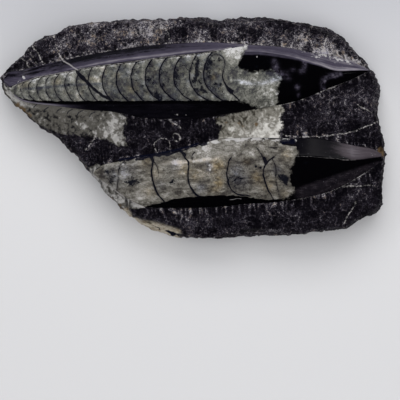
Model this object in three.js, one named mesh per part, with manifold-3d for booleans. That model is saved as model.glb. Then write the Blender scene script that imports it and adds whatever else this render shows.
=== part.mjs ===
// A loose slab of dark limestone with two polished orthoceras shells standing out of its chiselled face.
// Millimetres. The slab lies on its flat back: X runs along the large shell from its point to its open end,
// Y runs across both shells and Z stands up from the back. The origin is the middle of the back.
import * as THREE from 'three';
import { mergeVertices } from 'three/addons/utils/BufferGeometryUtils.js';
import Module from 'manifold-3d';

// Shells: the height of their feet in the rock, how deep they are set, the rise of the flanks and the face,
// the least width of a flank, and the gap round them
const SHELL_FOOT = 22.6;
const KEEL_DEPTH = 8;
const FLANK_SLOPE = 0.78;
const FLANK_RISE = 6;
const LEAST_FLANK = 0.05;
const TIP_REACH = 34;
const CROWN = 0.08;
const GAP = 0.35;

// Facets round and along a shell
const FACE_STEPS = 6;
const KEEL_STEPS = 6;
const SHELL_STATIONS = 46;

// Chiselled face: its mean height, the size of a facet and how far its corners are shifted, the heights of
// swells, tool marks and chips with their spacings, and the drop towards the broken edge
const ROCK_HEIGHT = 21.8;
const ROCK_CELL = 3.6;
const ROCK_SHIFT = 0.27 * ROCK_CELL;
const SWELL = { height: 1.1, spacing: 31 };
const TOOL_MARK = { height: 1, along: 5, across: 11 };
const CHIP = 0.9;
const EDGE_DROP = { depth: 3.2, reach: 4.5, mean: 0.8, change: 0.5, spacing: 13 };
const SHELL_BORDER = 1.5 * ROCK_CELL;
const FACE_BLOCK = { length: 240, width: 144, height: 40, base: -10 };

// Broken side as rings of points, each level [z, inset from the outline] from top to bottom, with its tilt,
// lumps and chips. LIP is the least rock left round a shell.
const EDGE_POINTS = 124;
const SIDE_LEVELS = [[40, 3], [21, 1.6], [16.5, 0.5], [11, 0], [6, 0.2], [2, 1.1], [0, 2.6]];
const SIDE_TILT = { reach: 4.5, points: 6 };
const SIDE_LUMP = { reach: 1.2, points: 4, levels: 1.6 };
const SIDE_CHIP = { depth: 1.1, above: 0.4 };
const LIP = 1.5;

// Stretch of the near left side that leans outwards, so that its broken wall shows from above
const WALL = { x: -24, reach: 15, below: -38, inset: 6 };

// One seed for each use of the repeatable noise
const SEED = {
  swell: 1, sideLump: 1, sideChip: 1, toolMark: 2, drop: 3, chip: 4, shiftX: 5, shiftY: 6, tilt: 7,
};

// Broken outline of the slab, from the thin point of its left end over the far edge
const OUTLINE = [
  [-111.5, 29], [-108, 34], [-102.5, 39.5], [-95.5, 48], [-91, 52], [-81.5, 55], [-75.5, 59.5],
  [-66, 61.5], [-44, 63], [-28, 64], [-16, 63.5], [1.5, 65], [10.5, 63], [20, 62.5], [32, 64],
  [48, 63.5], [65.5, 62], [76.5, 58.5], [88.5, 51.5], [97.5, 42], [106, 31], [108, 24],
  [107, 10], [109.5, -3.5], [111.5, -17], [110, -31], [109.5, -42.5], [106, -48.5], [96, -52.5],
  [88.5, -58.5], [74, -60.5], [53.5, -61], [27.5, -62.5], [4, -64.5], [-10.5, -64], [-29, -58.5],
  [-44.5, -44], [-52, -35], [-59.5, -27], [-79, -4.5], [-93, 5], [-104.5, 16.5], [-110.5, 21.5],
];

// Each shell as four lines seen from above, [x, y]: the far and near foot, where its flanks leave the rock,
// and the far and near crest, where the flanks meet the polished face
const LARGE = {
  farFoot: [[-109.5, 28.5], [-107, 32], [-98.5, 33.5], [-89, 36], [-75.5, 39], [-62, 42], [-47, 44.5],
    [-27.5, 47.5], [-6.5, 49], [10, 49.5], [33.5, 48], [53, 46.5], [68, 43.5], [82.5, 41], [93.5, 37.5],
    [101, 33.5]],
  farCrest: [[-109.5, 27.7], [-98, 29], [-81, 32], [-64.5, 35], [-52.5, 37.5], [-35.5, 40], [-21.5, 41.5],
    [-4, 43.5], [10, 44.5], [28.5, 44], [39, 44], [56, 41], [66, 38], [73.5, 35.5], [79.5, 33],
    [85, 32.5], [93, 33], [101, 33.3]],
  nearCrest: [[-109.5, 27], [-102, 19.5], [-96, 17], [-84.5, 15.5], [-50.5, 15.5], [7, 15.5], [26, 16],
    [39, 16.5], [53, 18.5], [63, 21], [71.5, 24], [77, 27], [83.5, 30], [90.5, 31.5], [101, 33.1]],
  nearFoot: [[-109.5, 26.5], [-106.5, 23], [-102.5, 18], [-96.5, 15], [-81.5, 13], [-60.5, 10.5],
    [-47, 9.5], [-32.5, 6.5], [-21.5, 5.5], [2, 5.5], [19, 8], [38, 11.5], [52, 14], [63, 17], [75, 22],
    [91.5, 28.5], [101, 33]],
};
const SMALL = {
  farFoot: [[-58, -25.5], [-56.5, -24], [-53, -21.5], [-47.5, -20], [-33, -17.5], [-21.5, -15],
    [-12.5, -14], [-6.5, -12.5], [1.5, -10], [9.5, -7.5], [18.5, -6], [36, -5.5], [58.5, -6], [70.5, -5.5],
    [85, -8.5], [94.5, -10.5], [103, -12], [108.5, -15]],
  farCrest: [[-58, -25.7], [-50.5, -24.5], [-36, -23.5], [-21.5, -22], [-4, -20], [10.5, -18.5],
    [18.5, -17], [32, -15.5], [51.5, -15.5], [75, -17], [91, -18.5], [98, -18], [108.5, -16.5]],
  nearCrest: [[-58, -25.9], [-47, -33], [-32.5, -41.5], [-21.5, -42.5], [-10.5, -40.5], [6, -39],
    [18.5, -38.5], [32, -39.5], [42.5, -40.5], [54.5, -39.5], [64.5, -37.5], [75, -34], [83.5, -31],
    [91, -27.5], [98, -23.5], [108.5, -18]],
  nearFoot: [[-58, -26], [-54, -29.5], [-47, -34], [-40.5, -39], [-32.5, -43.5], [-27, -45.5], [-16, -46],
    [-4.5, -46], [12.5, -45.5], [32, -43.5], [43, -43], [55, -41.5], [64.5, -40], [75, -37.5], [84, -34],
    [91.5, -30], [98, -26], [103.5, -22.5], [108.5, -18.5]],
};

const wasm = await Module();
wasm.setup();

function toSolid(geometry) {
  geometry.deleteAttribute('normal');
  geometry.deleteAttribute('uv');
  const merged = mergeVertices(geometry, 1e-4);
  return new wasm.Manifold(new wasm.Mesh({
    numProp: 3,
    vertProperties: new Float32Array(merged.attributes.position.array),
    triVerts: new Uint32Array(merged.index.array),
  }));
}

function toGeometry(solid) {
  const mesh = solid.getMesh();
  const geometry = new THREE.BufferGeometry();
  geometry.setAttribute('position', new THREE.BufferAttribute(mesh.vertProperties, 3));
  geometry.setIndex(new THREE.BufferAttribute(mesh.triVerts, 1));
  return geometry;
}

// Smooth line through points sorted by x: the y at one x
function through(points, x) {
  const last = points.length - 1;
  const next = points.findIndex((point) => point[0] > x);
  const i = next < 0 ? last - 1 : Math.max(next - 1, 0);
  const slope = (k) => {
    const a = points[Math.max(k - 1, 0)];
    const b = points[Math.min(k + 1, last)];
    return (b[1] - a[1]) / (b[0] - a[0]);
  };
  const [x0, y0] = points[i];
  const [x1, y1] = points[i + 1];
  const span = x1 - x0;
  const t = THREE.MathUtils.clamp((x - x0) / span, 0, 1);
  const rise = t * t * (3 - 2 * t);
  return y0 * (1 - rise) + y1 * rise
    + span * t * (1 - t) * ((1 - t) * slope(i) - t * slope(i + 1));
}

// Repeatable noise from -1 to 1: one value per whole-number cell, smoothly blended between cells
const SCATTER = { i: 127.1, j: 311.7, seed: 74.7, scale: 43758.5453 };

function cell(i, j, seed) {
  const value = Math.sin(i * SCATTER.i + j * SCATTER.j + seed * SCATTER.seed) * SCATTER.scale;
  return 2 * (value - Math.floor(value)) - 1;
}

function noise(x, y, seed) {
  const i = Math.floor(x);
  const j = Math.floor(y);
  const u = THREE.MathUtils.smoothstep(x - i, 0, 1);
  const v = THREE.MathUtils.smoothstep(y - j, 0, 1);
  const low = THREE.MathUtils.lerp(cell(i, j, seed), cell(i + 1, j, seed), u);
  const high = THREE.MathUtils.lerp(cell(i, j + 1, seed), cell(i + 1, j + 1, seed), u);
  return THREE.MathUtils.lerp(low, high, v);
}

// How far a crest stands above the foot: the flank's slope holds up to a limit and fades out at the tips
function crestRise(width, toTip) {
  return Math.min(FLANK_SLOPE * width, FLANK_RISE) * Math.sqrt(Math.min(toTip / TIP_REACH, 1));
}

// One cross-section of a shell at x, as [y, z] points round it: near flank, face, far flank and keel
function shellRing(shell, x) {
  const nearFoot = through(shell.nearFoot, x);
  const nearCrest = Math.max(through(shell.nearCrest, x), nearFoot + LEAST_FLANK);
  const farFoot = through(shell.farFoot, x);
  const farCrest = Math.min(through(shell.farCrest, x), farFoot - LEAST_FLANK);
  const toTip = Math.min(x - shell.farFoot[0][0], shell.farFoot[shell.farFoot.length - 1][0] - x);
  const nearTop = SHELL_FOOT + crestRise(nearCrest - nearFoot, toTip);
  const farTop = SHELL_FOOT + crestRise(farFoot - farCrest, toTip);
  const face = farCrest - nearCrest;
  const ring = [[nearFoot, SHELL_FOOT], [(nearFoot + nearCrest) / 2, (SHELL_FOOT + nearTop) / 2]];
  for (let i = 0; i <= FACE_STEPS; i += 1) {
    const t = i / FACE_STEPS;
    const z = THREE.MathUtils.lerp(nearTop, farTop, t) + 4 * CROWN * face * t * (1 - t);
    ring.push([nearCrest + t * face, z]);
  }
  ring.push([(farFoot + farCrest) / 2, (SHELL_FOOT + farTop) / 2], [farFoot, SHELL_FOOT]);
  const half = (farFoot - nearFoot) / 2;
  const depth = Math.min(KEEL_DEPTH, half);
  for (let i = 1; i < KEEL_STEPS; i += 1) {
    const angle = Math.PI * i / KEEL_STEPS;
    ring.push([nearFoot + half + half * Math.cos(angle), SHELL_FOOT - depth * Math.sin(angle)]);
  }
  return ring;
}

// A shell is a sphere whose rings of latitude become cross-sections, closer together towards both ends.
// Growing it by the gap gives the hollow that it lies in.
function shellGeometry(shell, gap) {
  const around = FACE_STEPS + KEEL_STEPS + 4;
  const geometry = new THREE.SphereGeometry(1, around, SHELL_STATIONS);
  const position = geometry.attributes.position;
  const start = shell.farFoot[0][0];
  const end = shell.farFoot[shell.farFoot.length - 1][0];
  for (let row = 0; row <= SHELL_STATIONS; row += 1) {
    const along = (1 - Math.cos(Math.PI * row / SHELL_STATIONS)) / 2;
    const x = start + along * (end - start);
    const ring = shellRing(shell, x);
    const middle = (ring[0][0] + through(shell.farFoot, x)) / 2;
    const atTip = row === 0 || row === SHELL_STATIONS;
    for (let column = 0; column <= around; column += 1) {
      const [y, z] = atTip ? [middle, SHELL_FOOT] : ring[column % around];
      const reach = Math.hypot(y - middle, z - SHELL_FOOT);
      const grow = atTip ? 0 : gap / Math.max(reach, gap);
      position.setXYZ(
        row * (around + 1) + column,
        x + gap * Math.sign(along - 0.5) * (atTip ? 2 : 1),
        y + grow * (y - middle),
        z + grow * (z - SHELL_FOOT),
      );
    }
  }
  return geometry;
}

// Evenly spaced points along the broken outline, each with its outward direction
const path = new THREE.Path(OUTLINE.concat([OUTLINE[0]]).map(([x, y]) => new THREE.Vector2(x, y)));
const edge = path.getSpacedPoints(EDGE_POINTS).slice(0, EDGE_POINTS);
const outward = edge.map((point, i) => {
  const before = edge[(i + EDGE_POINTS - 1) % EDGE_POINTS];
  const after = edge[(i + 1) % EDGE_POINTS];
  return new THREE.Vector2(before.y - after.y, after.x - before.x).normalize();
});

// How far a place lies outside a shell's foot lines, negative inside them
function beyondShell(shell, x, y) {
  const start = shell.farFoot[0][0];
  const end = shell.farFoot[shell.farFoot.length - 1][0];
  const held = THREE.MathUtils.clamp(x, start, end);
  const across = Math.max(y - through(shell.farFoot, held), through(shell.nearFoot, held) - y);
  return held === x ? across : Math.hypot(x - held, Math.max(across, 0));
}

function beyondShells(x, y) {
  return Math.min(beyondShell(LARGE, x, y), beyondShell(SMALL, x, y));
}

// The side of the slab as a closed prism of rings, with a lip of rock kept round each shell
function sideGeometry() {
  const rows = SIDE_LEVELS.length - 1;
  const geometry = new THREE.CylinderGeometry(1, 1, 1, EDGE_POINTS, rows);
  const position = geometry.attributes.position;
  for (let i = 0; i < position.count; i += 1) {
    const across = position.getX(i);
    const along = position.getZ(i);
    const row = Math.round((0.5 - position.getY(i)) * rows);
    const [z, inset] = SIDE_LEVELS[row];
    if (Math.hypot(across, along) < 0.5) {
      position.setXYZ(i, 0, 0, z);
      continue;
    }
    const turn = Math.atan2(across, along) / (2 * Math.PI);
    const column = (EDGE_POINTS - Math.round(turn * EDGE_POINTS)) % EDGE_POINTS;
    const point = edge[column];
    const lean = point.y < WALL.below ? Math.exp(-(((point.x - WALL.x) / WALL.reach) ** 2)) : 0;
    const height = Math.min(z / ROCK_HEIGHT, 1);
    const tilt = SIDE_TILT.reach * noise(column / SIDE_TILT.points, 0, SEED.tilt) * (height - 0.5);
    const lump = SIDE_LUMP.reach * noise(column / SIDE_LUMP.points, row / SIDE_LUMP.levels, SEED.sideLump);
    const chip = SIDE_CHIP.depth * Math.min(0, cell(column, row, SEED.sideChip) + SIDE_CHIP.above);
    const place = point.clone().addScaledVector(
      outward[column],
      tilt + lump + chip - inset - lean * WALL.inset * height,
    );
    while (z > SHELL_FOOT - KEEL_DEPTH - LIP && beyondShells(place.x, place.y) < LIP) {
      place.addScaledVector(outward[column], LIP / 4);
    }
    position.setXYZ(i, place.x, place.y, z);
  }
  return geometry;
}

// Height of the chiselled face: long swells, tool marks that run across the shells, chips, a dropped edge,
// and no higher than the foot of a shell beside it
function rockZ(x, y) {
  const toEdge = Math.min(...edge.map((point) => Math.hypot(point.x - x, point.y - y)));
  const uneven = noise(x / EDGE_DROP.spacing, y / EDGE_DROP.spacing, SEED.drop);
  const share = EDGE_DROP.mean + EDGE_DROP.change * uneven;
  const drop = EDGE_DROP.depth * Math.exp(-toEdge / EDGE_DROP.reach) * share;
  const z = ROCK_HEIGHT
    + SWELL.height * noise(x / SWELL.spacing, y / SWELL.spacing, SEED.swell)
    + TOOL_MARK.height * noise(x / TOOL_MARK.along, y / TOOL_MARK.across, SEED.toolMark)
    + CHIP * cell(Math.round(x), Math.round(y), SEED.chip) - drop;
  return beyondShells(x, y) < SHELL_BORDER ? Math.min(z, SHELL_FOOT - GAP) : z;
}

function faceGeometry() {
  const { length, width, height, base } = FACE_BLOCK;
  const cells = [Math.round(length / ROCK_CELL), Math.round(width / ROCK_CELL), 1];
  const geometry = new THREE.BoxGeometry(length, width, height, ...cells);
  const position = geometry.attributes.position;
  for (let i = 0; i < position.count; i += 1) {
    const x = position.getX(i);
    const y = position.getY(i);
    const movedX = x + ROCK_SHIFT * cell(Math.round(4 * x), Math.round(4 * y), SEED.shiftX);
    const movedY = y + ROCK_SHIFT * cell(Math.round(4 * x), Math.round(4 * y), SEED.shiftY);
    position.setXYZ(i, movedX, movedY, position.getZ(i) > 0 ? rockZ(movedX, movedY) : base);
  }
  return geometry;
}

const hollows = [LARGE, SMALL].map((shell) => toSolid(shellGeometry(shell, GAP)));
const slab = toSolid(faceGeometry()).intersect(toSolid(sideGeometry()));
const matrixSolid = hollows.reduce((rock, hollow) => rock.subtract(hollow), slab);

function piece(name, solid, color, roughness) {
  const material = new THREE.MeshStandardMaterial({ color, roughness, metalness: 0 });
  const mesh = new THREE.Mesh(toGeometry(solid), material);
  mesh.name = name;
  return mesh;
}

const group = new THREE.Group();
group.add(
  piece('matrix', matrixSolid, 0x3a3638, 0.85),
  piece('large_orthoceras', toSolid(shellGeometry(LARGE, 0)), 0x5c5b58, 0.2),
  piece('small_orthoceras', toSolid(shellGeometry(SMALL, 0)), 0x6d6862, 0.2),
);

export default group;
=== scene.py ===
# A slab of dark limestone with two polished orthoceras shells lies on a pale floor, seen straight from above.
# Shapes and markings are worked out in millimetres, and Blender's meshes are in metres.
import math

import bpy
import numpy as np
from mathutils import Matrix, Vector
from mathutils.bvhtree import BVHTree
from mathutils.geometry import delaunay_2d_cdt


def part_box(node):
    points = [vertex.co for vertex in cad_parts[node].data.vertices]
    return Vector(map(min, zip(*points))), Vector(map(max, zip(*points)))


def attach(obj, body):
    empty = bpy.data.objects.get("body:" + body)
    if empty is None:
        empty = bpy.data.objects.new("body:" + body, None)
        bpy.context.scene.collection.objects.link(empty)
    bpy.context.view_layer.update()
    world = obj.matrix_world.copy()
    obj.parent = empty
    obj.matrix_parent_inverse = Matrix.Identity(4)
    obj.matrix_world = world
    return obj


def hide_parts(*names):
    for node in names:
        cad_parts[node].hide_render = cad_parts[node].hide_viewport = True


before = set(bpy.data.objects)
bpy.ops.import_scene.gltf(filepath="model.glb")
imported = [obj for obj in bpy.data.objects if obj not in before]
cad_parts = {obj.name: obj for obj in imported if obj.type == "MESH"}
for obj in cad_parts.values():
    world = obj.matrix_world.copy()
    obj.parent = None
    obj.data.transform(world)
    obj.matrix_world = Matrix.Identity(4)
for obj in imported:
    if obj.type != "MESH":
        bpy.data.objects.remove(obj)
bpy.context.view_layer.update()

MM = 0.001

# Camera: the plan place under it, its height over the floor, and a level with the width seen there
VIEW_CENTRE = (3.6, -41.4)
VIEW_HEIGHT = 1215
VIEW_PLANE = 15
VIEW_WIDTH = 232
SENSOR = 36

# Fine mesh: steps along the shells and columns round them, the rock's grid, the rows of its side, the
# grid of its back, and the pockets that the shells lie in. Noise repeats after NOISE_CELLS.
SHELL_STEP = 0.36
NEAR_FLANK_COLUMNS = 26
FACE_COLUMNS = 74
FAR_FLANK_COLUMNS = 22
KEEL_COLUMNS = 12
CREST_PASSES = 2
ROCK_STEP = 0.52
SIDE_STEP = 0.78
SIDE_ROWS = 26
BASE_STEP = 7
POCKET_GAP = 0.12
POCKET_COLUMNS = 8
NOISE_CELLS = 256
WOBBLE = 0.25

# Points round a CAD shell's cross-section, and the least distance between two cross-sections
NEAR_FOOT, NEAR_CREST, FACE_MIDDLE, FAR_CREST, FAR_FOOT, KEEL = 0, 2, 5, 8, 10, 13
STATION_GAP = 0.03

# Flank values below this are on the near flank
NEAR_FLANK = -3.3


# Noise and distances over arrays of plan positions. FAR_OFF is the level well outside every drawn line.

FAR_OFF = -4.0


def noise(x, y, seed):
    """Smooth repeatable noise from -1 to 1, with one random value per whole number each way."""
    table = np.random.default_rng(seed).uniform(-1, 1, (NOISE_CELLS, NOISE_CELLS))
    i = np.floor(x).astype(int)
    j = np.floor(y).astype(int)
    u = x - i
    v = y - j
    u = u * u * (3 - 2 * u)
    v = v * v * (3 - 2 * v)
    at = lambda a, b: table[(i + a) % NOISE_CELLS, (j + b) % NOISE_CELLS]
    low = at(0, 0) * (1 - u) + at(1, 0) * u
    high = at(0, 1) * (1 - u) + at(1, 1) * u
    return low * (1 - v) + high * v


def smooth_line(points, steps=8):
    """The same line with rounded bends, as a denser list of points."""
    p = np.array(points, float)
    if len(p) < 3:
        return p
    before = np.vstack([2 * p[0] - p[1], p[:-2]])
    after = np.vstack([p[2:], 2 * p[-1] - p[-2]])
    t = np.linspace(0, 1, steps, endpoint=False)[None, :, None]
    a, b, c, d = before[:, None], p[:-1, None], p[1:, None], after[:, None]
    curve = b + 0.5 * t * (c - a + t * (2 * a - 5 * b + 4 * c - d + t * (3 * (b - c) + d - a)))
    return np.vstack([curve.reshape(-1, 2), p[-1:]])


def to_line(points, line):
    """Distance of each point to the nearest place on a line."""
    best = np.full(len(points), np.inf)
    for start, end in zip(line[:-1], line[1:]):
        run = end - start
        t = np.clip((points - start) @ run / (run @ run), 0, 1)
        gap = points - start - t[:, None] * run
        best = np.minimum(best, np.hypot(gap[:, 0], gap[:, 1]))
    return best


def in_region(points, region):
    """Whether each point lies inside a closed region."""
    x, y = points.T
    inside = np.zeros(len(points), bool)
    for (x0, y0), (x1, y1) in zip(region, np.roll(region, -1, axis=0)):
        crosses = (y0 > y) != (y1 > y)
        inside ^= crosses & (x < (x1 - x0) * (y - y0) / (y1 - y0 if y1 != y0 else 1) + x0)
    return inside


def to_region(points, region):
    """Signed distance to the border of a closed region, positive inside."""
    region = np.array(region, float)
    distance = to_line(points, np.vstack([region, region[:1]]))
    return np.where(in_region(points, region), distance, -distance)


def line_level(points, lines):
    """Millimetres inside the nearest line's width, negative outside. Each line is (width, points)."""
    level = np.full(len(points), FAR_OFF)
    for width, line in lines:
        level = np.maximum(level, width / 2 - to_line(points, smooth_line(line)))
    return level


def glow(points, lines, width):
    """1 on the nearest of some lines, fading to 0 beside it."""
    gap = np.min([to_line(points, np.array(line)) for line in lines], axis=0)
    return np.exp(-(gap / width) ** 2)


def line_at(x, line):
    """The height of a line of (x, height) pairs, straight between them and level past its ends."""
    return np.interp(x, *np.array(line).T)


def spot_sum(points, spots):
    """Soft round spots added up, each (x, y, radius, strength)."""
    total = np.zeros(len(points))
    for x, y, radius, strength in spots:
        reach = ((points[:, 0] - x) ** 2 + (points[:, 1] - y) ** 2) / radius ** 2
        total += strength * np.exp(-reach)
    return total


def fractal(x, y, seed, octaves=4, fade=0.6, bend=0.0):
    """Noise from about -1 to 1 with features from one unit down. A bend makes them curl and feather."""
    x, y = x + bend * noise(1.3 * x, 1.3 * y, seed + 50), y + bend * noise(1.3 * x, 1.3 * y, seed + 51)
    total = np.zeros(len(x))
    for k in range(octaves):
        total += fade ** k * noise(2 ** k * x + 7.3 * k, 2 ** k * y + 3.1 * k, seed + k)
    return 1.6 * total / sum(fade ** k for k in range(octaves))


def noise_sum(x, y, parts):
    """Noises added up, each (height, size across, size up, seed)."""
    return sum(height * noise(x / across, y / up, seed) for height, across, up, seed in parts)


def mosaic(x, y, seed):
    """A number from -1 to 1 for the crystal that each place belongs to, about one unit across."""
    shift_x, shift_y, level = np.random.default_rng(seed).uniform(-1, 1, (3, NOISE_CELLS, NOISE_CELLS))
    nearest = np.full(len(x), np.inf)
    found = np.zeros(len(x))
    for a in (-1, 0, 1):
        for b in (-1, 0, 1):
            i = np.floor(x).astype(int) + a
            j = np.floor(y).astype(int) + b
            cell = (i % NOISE_CELLS, j % NOISE_CELLS)
            gap = np.hypot(x - i - 0.5 - 0.5 * shift_x[cell], y - j - 0.5 - 0.5 * shift_y[cell])
            found = np.where(gap < nearest, level[cell], found)
            nearest = np.minimum(nearest, gap)
    return found


def crystals(plan, centre, seed):
    """Noise from about -1 to 1 drawn out into feathery blades that spread from a centre."""
    dx, dy = (plan - centre).T
    turn = np.arctan2(dy, dx) + 0.3 * noise(dx / 3, dy / 3, seed + 3)
    reach = np.hypot(dx, dy)
    blades = 0.5 * noise(turn * 4, reach / 6 + 9, seed) + 0.6 * noise(turn * 9, reach / 2.5 + 5, seed + 1)
    grains = fractal(dx / 2, dy / 2, seed + 5, bend=0.4)
    return np.clip(reach / 9, 0, 1) * blades + 0.55 * grains + 0.25 * mosaic(dx / 1.1, dy / 1.1, seed + 9)


def ramp(values, low, high):
    """0 below low, 1 above high and straight between."""
    return np.clip((values - low) / (high - low), 0, 1)


# Meshes

def add_object(name, data):
    thing = bpy.data.objects.new(name, data)
    bpy.context.scene.collection.objects.link(thing)
    return thing


def make_mesh(name, vertices, faces, values, node):
    """A smooth-shaded piece that stands for a CAD node, with one number per vertex for each named value."""
    mesh = bpy.data.meshes.new(name)
    mesh.from_pydata((np.asarray(vertices) * MM).tolist(), [], faces)
    for key, numbers in values.items():
        layer = mesh.attributes.new(key, "FLOAT", "POINT")
        layer.data.foreach_set("value", np.asarray(numbers, np.float32))
    mesh.polygons.foreach_set("use_smooth", [True] * len(mesh.polygons))
    piece = add_object(name, mesh)
    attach(piece, "root")
    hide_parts(node)
    return piece


def strip_faces(rows, closed):
    """Quads between neighbouring rows of vertex numbers."""
    rows = np.array(rows)
    after = np.roll(rows, -1, axis=1)
    quads = np.stack([rows[:-1], after[:-1], after[1:], rows[1:]], axis=-1)
    return quads[:, : None if closed else -1].reshape(-1, 4).tolist()


# Shells, read from the frame: each CAD shell is a row of cross-sections with the same points round it

def shell_sections(node):
    """Cross-sections of a CAD shell as [station, point round it, (x, y, z)], tips included."""
    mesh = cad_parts[node].data
    places = np.unique(np.round([v.co / MM for v in mesh.vertices], 3), axis=0)
    places = places[np.argsort(places[:, 0])]
    cuts = np.flatnonzero(np.diff(places[:, 0]) > STATION_GAP) + 1
    groups = np.split(places, cuts)
    around = max(len(group) for group in groups)
    sections = []
    for group in groups:
        if len(group) == 1:
            sections.append(np.repeat(group, around, axis=0))
            continue
        near = group[group[:, 1].argmin()]
        middle = (near[1] + group[:, 1].max()) / 2
        turn = np.arctan2(group[:, 2] - near[2] + 1e-6, group[:, 1] - middle)
        sections.append(group[np.argsort(-turn)])
    return np.array(sections)


def along_shell(sections, step):
    """The cross-sections at even steps of x, on smooth curves through the CAD stations."""
    start, end = sections[0, 0, 0], sections[-1, 0, 0]
    last = len(sections) - 1
    x = np.linspace(start, end, int((end - start) / step))
    place = np.arccos(np.clip(1 - 2 * (x - start) / (end - start), -1, 1)) / math.pi * last
    i = np.clip(place.astype(int), 0, last - 1)
    t = (place - i)[:, None, None]
    a, b = sections[np.maximum(i - 1, 0)], sections[i]
    c, d = sections[i + 1], sections[np.minimum(i + 2, last)]
    curve = b + 0.5 * t * (c - a + t * (2 * a - 5 * b + 4 * c - d + t * (3 * (b - c) + d - a)))
    curve[:, :, 0] = x[:, None]
    return curve


def fine_ring(section):
    """A dense ring from one CAD cross-section: near flank, crowned face, far flank and keel."""
    near_foot, near_crest, face_middle = section[[NEAR_FOOT, NEAR_CREST, FACE_MIDDLE]]
    far_crest, far_foot, keel = section[[FAR_CREST, FAR_FOOT, KEEL]]
    crown = face_middle[2] - (near_crest[2] + far_crest[2]) / 2
    t = np.linspace(0, 1, NEAR_FLANK_COLUMNS, endpoint=False)[:, None]
    near = near_foot + t * (near_crest - near_foot)
    t = np.linspace(0, 1, FACE_COLUMNS, endpoint=False)[:, None]
    face = near_crest + t * (far_crest - near_crest)
    face[:, 2] += 4 * crown * (t * (1 - t))[:, 0]
    t = np.linspace(0, 1, FAR_FLANK_COLUMNS)[:, None]
    far = far_crest + t * (far_foot - far_crest)
    top = np.vstack([near, face, far])
    for _ in range(CREST_PASSES):
        top[1:-1] = (top[:-2] + 2 * top[1:-1] + top[2:]) / 4
    angle = np.linspace(0, math.pi, KEEL_COLUMNS + 2)[1:-1]
    under = np.empty((KEEL_COLUMNS, 3))
    under[:, 0] = near_foot[0]
    under[:, 1] = (near_foot[1] + far_foot[1]) / 2 + (far_foot[1] - near_foot[1]) / 2 * np.cos(angle)
    under[:, 2] = near_foot[2] - (near_foot[2] - keel[2]) * np.sin(angle)
    return np.vstack([top, under])


def shell_piece(node, name, marks):
    """A polished shell: rings along X with a point at each end, and the values behind its markings.

    The markings' flank is 0 at the far crest, 1 at the far foot and below 0 on the face and near flank.
    """
    stations = along_shell(shell_sections(node), SHELL_STEP)
    rings = np.array([fine_ring(section) for section in stations[1:-1]])
    tips = stations[[0, -1], 0]
    count = rings.shape[1]
    vertices = np.vstack([rings.reshape(-1, 3), tips])
    rows = [list(range(k * count, (k + 1) * count)) for k in range(len(rings))]
    faces = strip_faces(rows, closed=True)
    first, last = len(vertices) - 2, len(vertices) - 1
    faces += [(first, rows[0][(k + 1) % count], rows[0][k]) for k in range(count)]
    faces += [(last, rows[-1][k], rows[-1][(k + 1) % count]) for k in range(count)]
    across = (np.arange(count) - NEAR_FLANK_COLUMNS - FACE_COLUMNS) / FAR_FLANK_COLUMNS
    across[across > 1] = -1
    flank = np.append(np.tile(across, len(rings)), [0, 0])
    plan = vertices[:, :2]
    wobble = WOBBLE * np.c_[noise(*plan.T / 2.1, 11), noise(*plan.T / 2.3, 12)]
    values = marks(plan, plan + wobble, flank)
    return make_mesh(name, vertices, [f[::-1] for f in faces], values, node)


# Markings of the large shell, seen from above

LARGE_CHAMBERS = [
    (-109.4, 22.6), (-109.4, 25), (-105.8, 23.4), (-102.3, 24.9), (-100, 25.4), (-93.5, 27.7),
    (-88, 29.2), (-75.4, 31.2), (-66.8, 33),
    (-55.4, 34.9), (-41, 36.6), (-25.6, 38.9), (-6.6, 41.2), (1.9, 42.1), (12.3, 43.9), (21.7, 45.9),
    (30.6, 47.4), (30, 46), (27.7, 42.6), (26.6, 39.4), (25.4, 35.8), (26, 34.2), (28.7, 33.4),
    (31.7, 31.4), (38, 32.1), (42.1, 33.1), (47.2, 31.4), (49.8, 28.1), (48.5, 25.1), (47.6, 21.1),
    (48.4, 17.1), (47, 11.9), (39.2, 11.2), (31.7, 14.2), (26, 15.7), (-21.5, 15.5), (-78.3, 15.5),
    (-86.9, 15.7), (-94.3, 16.3), (-98.9, 17.1), (-101.8, 18.4), (-105.5, 19.9),
]
LARGE_WALLS = [
    -102.9, -99.1, -94.7, -90, -84.9, -79.7, -73.5, -66.9, -60, -52, -43.9, -35.5, -27.4, -19.3, -11.1,
    -2.1, 6.1, 16.6,
]
LARGE_FAR_EDGE = [
    (-112, 20.5), (-107, 22.4), (-103, 24), (-93.5, 27.7), (-75.4, 31.2), (-55.4, 34.9), (-25.6, 38.9),
    (1.9, 42.1), (17, 44.6),
]
LARGE_NEAR_EDGE = 15.5


def chamber_wall(x):
    """One bowed wall across the large shell: it is furthest left at x, and both ends lie further right."""
    far = line_at(x + 4, LARGE_FAR_EDGE)
    width = far - LARGE_NEAR_EDGE
    middle = LARGE_NEAR_EDGE + np.interp(x, [-60, -10], [0.6, 0.55]) * width
    across = np.linspace(-1, 1, 19)
    y = np.where(across < 0, middle + across * (middle - LARGE_NEAR_EDGE), middle + across * (far - middle))
    near_lean = np.interp(x, [-100, -60, -10], [0.3, 0.26, 0.4])
    far_lean = np.interp(x, [-100, -60, -10], [0.25, 0.12, 0.17])
    lean = np.where(across < 0, near_lean * np.abs(across) ** 2.4, far_lean * across ** 2)
    return np.c_[x - 0.4 + lean * width, y]


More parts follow.
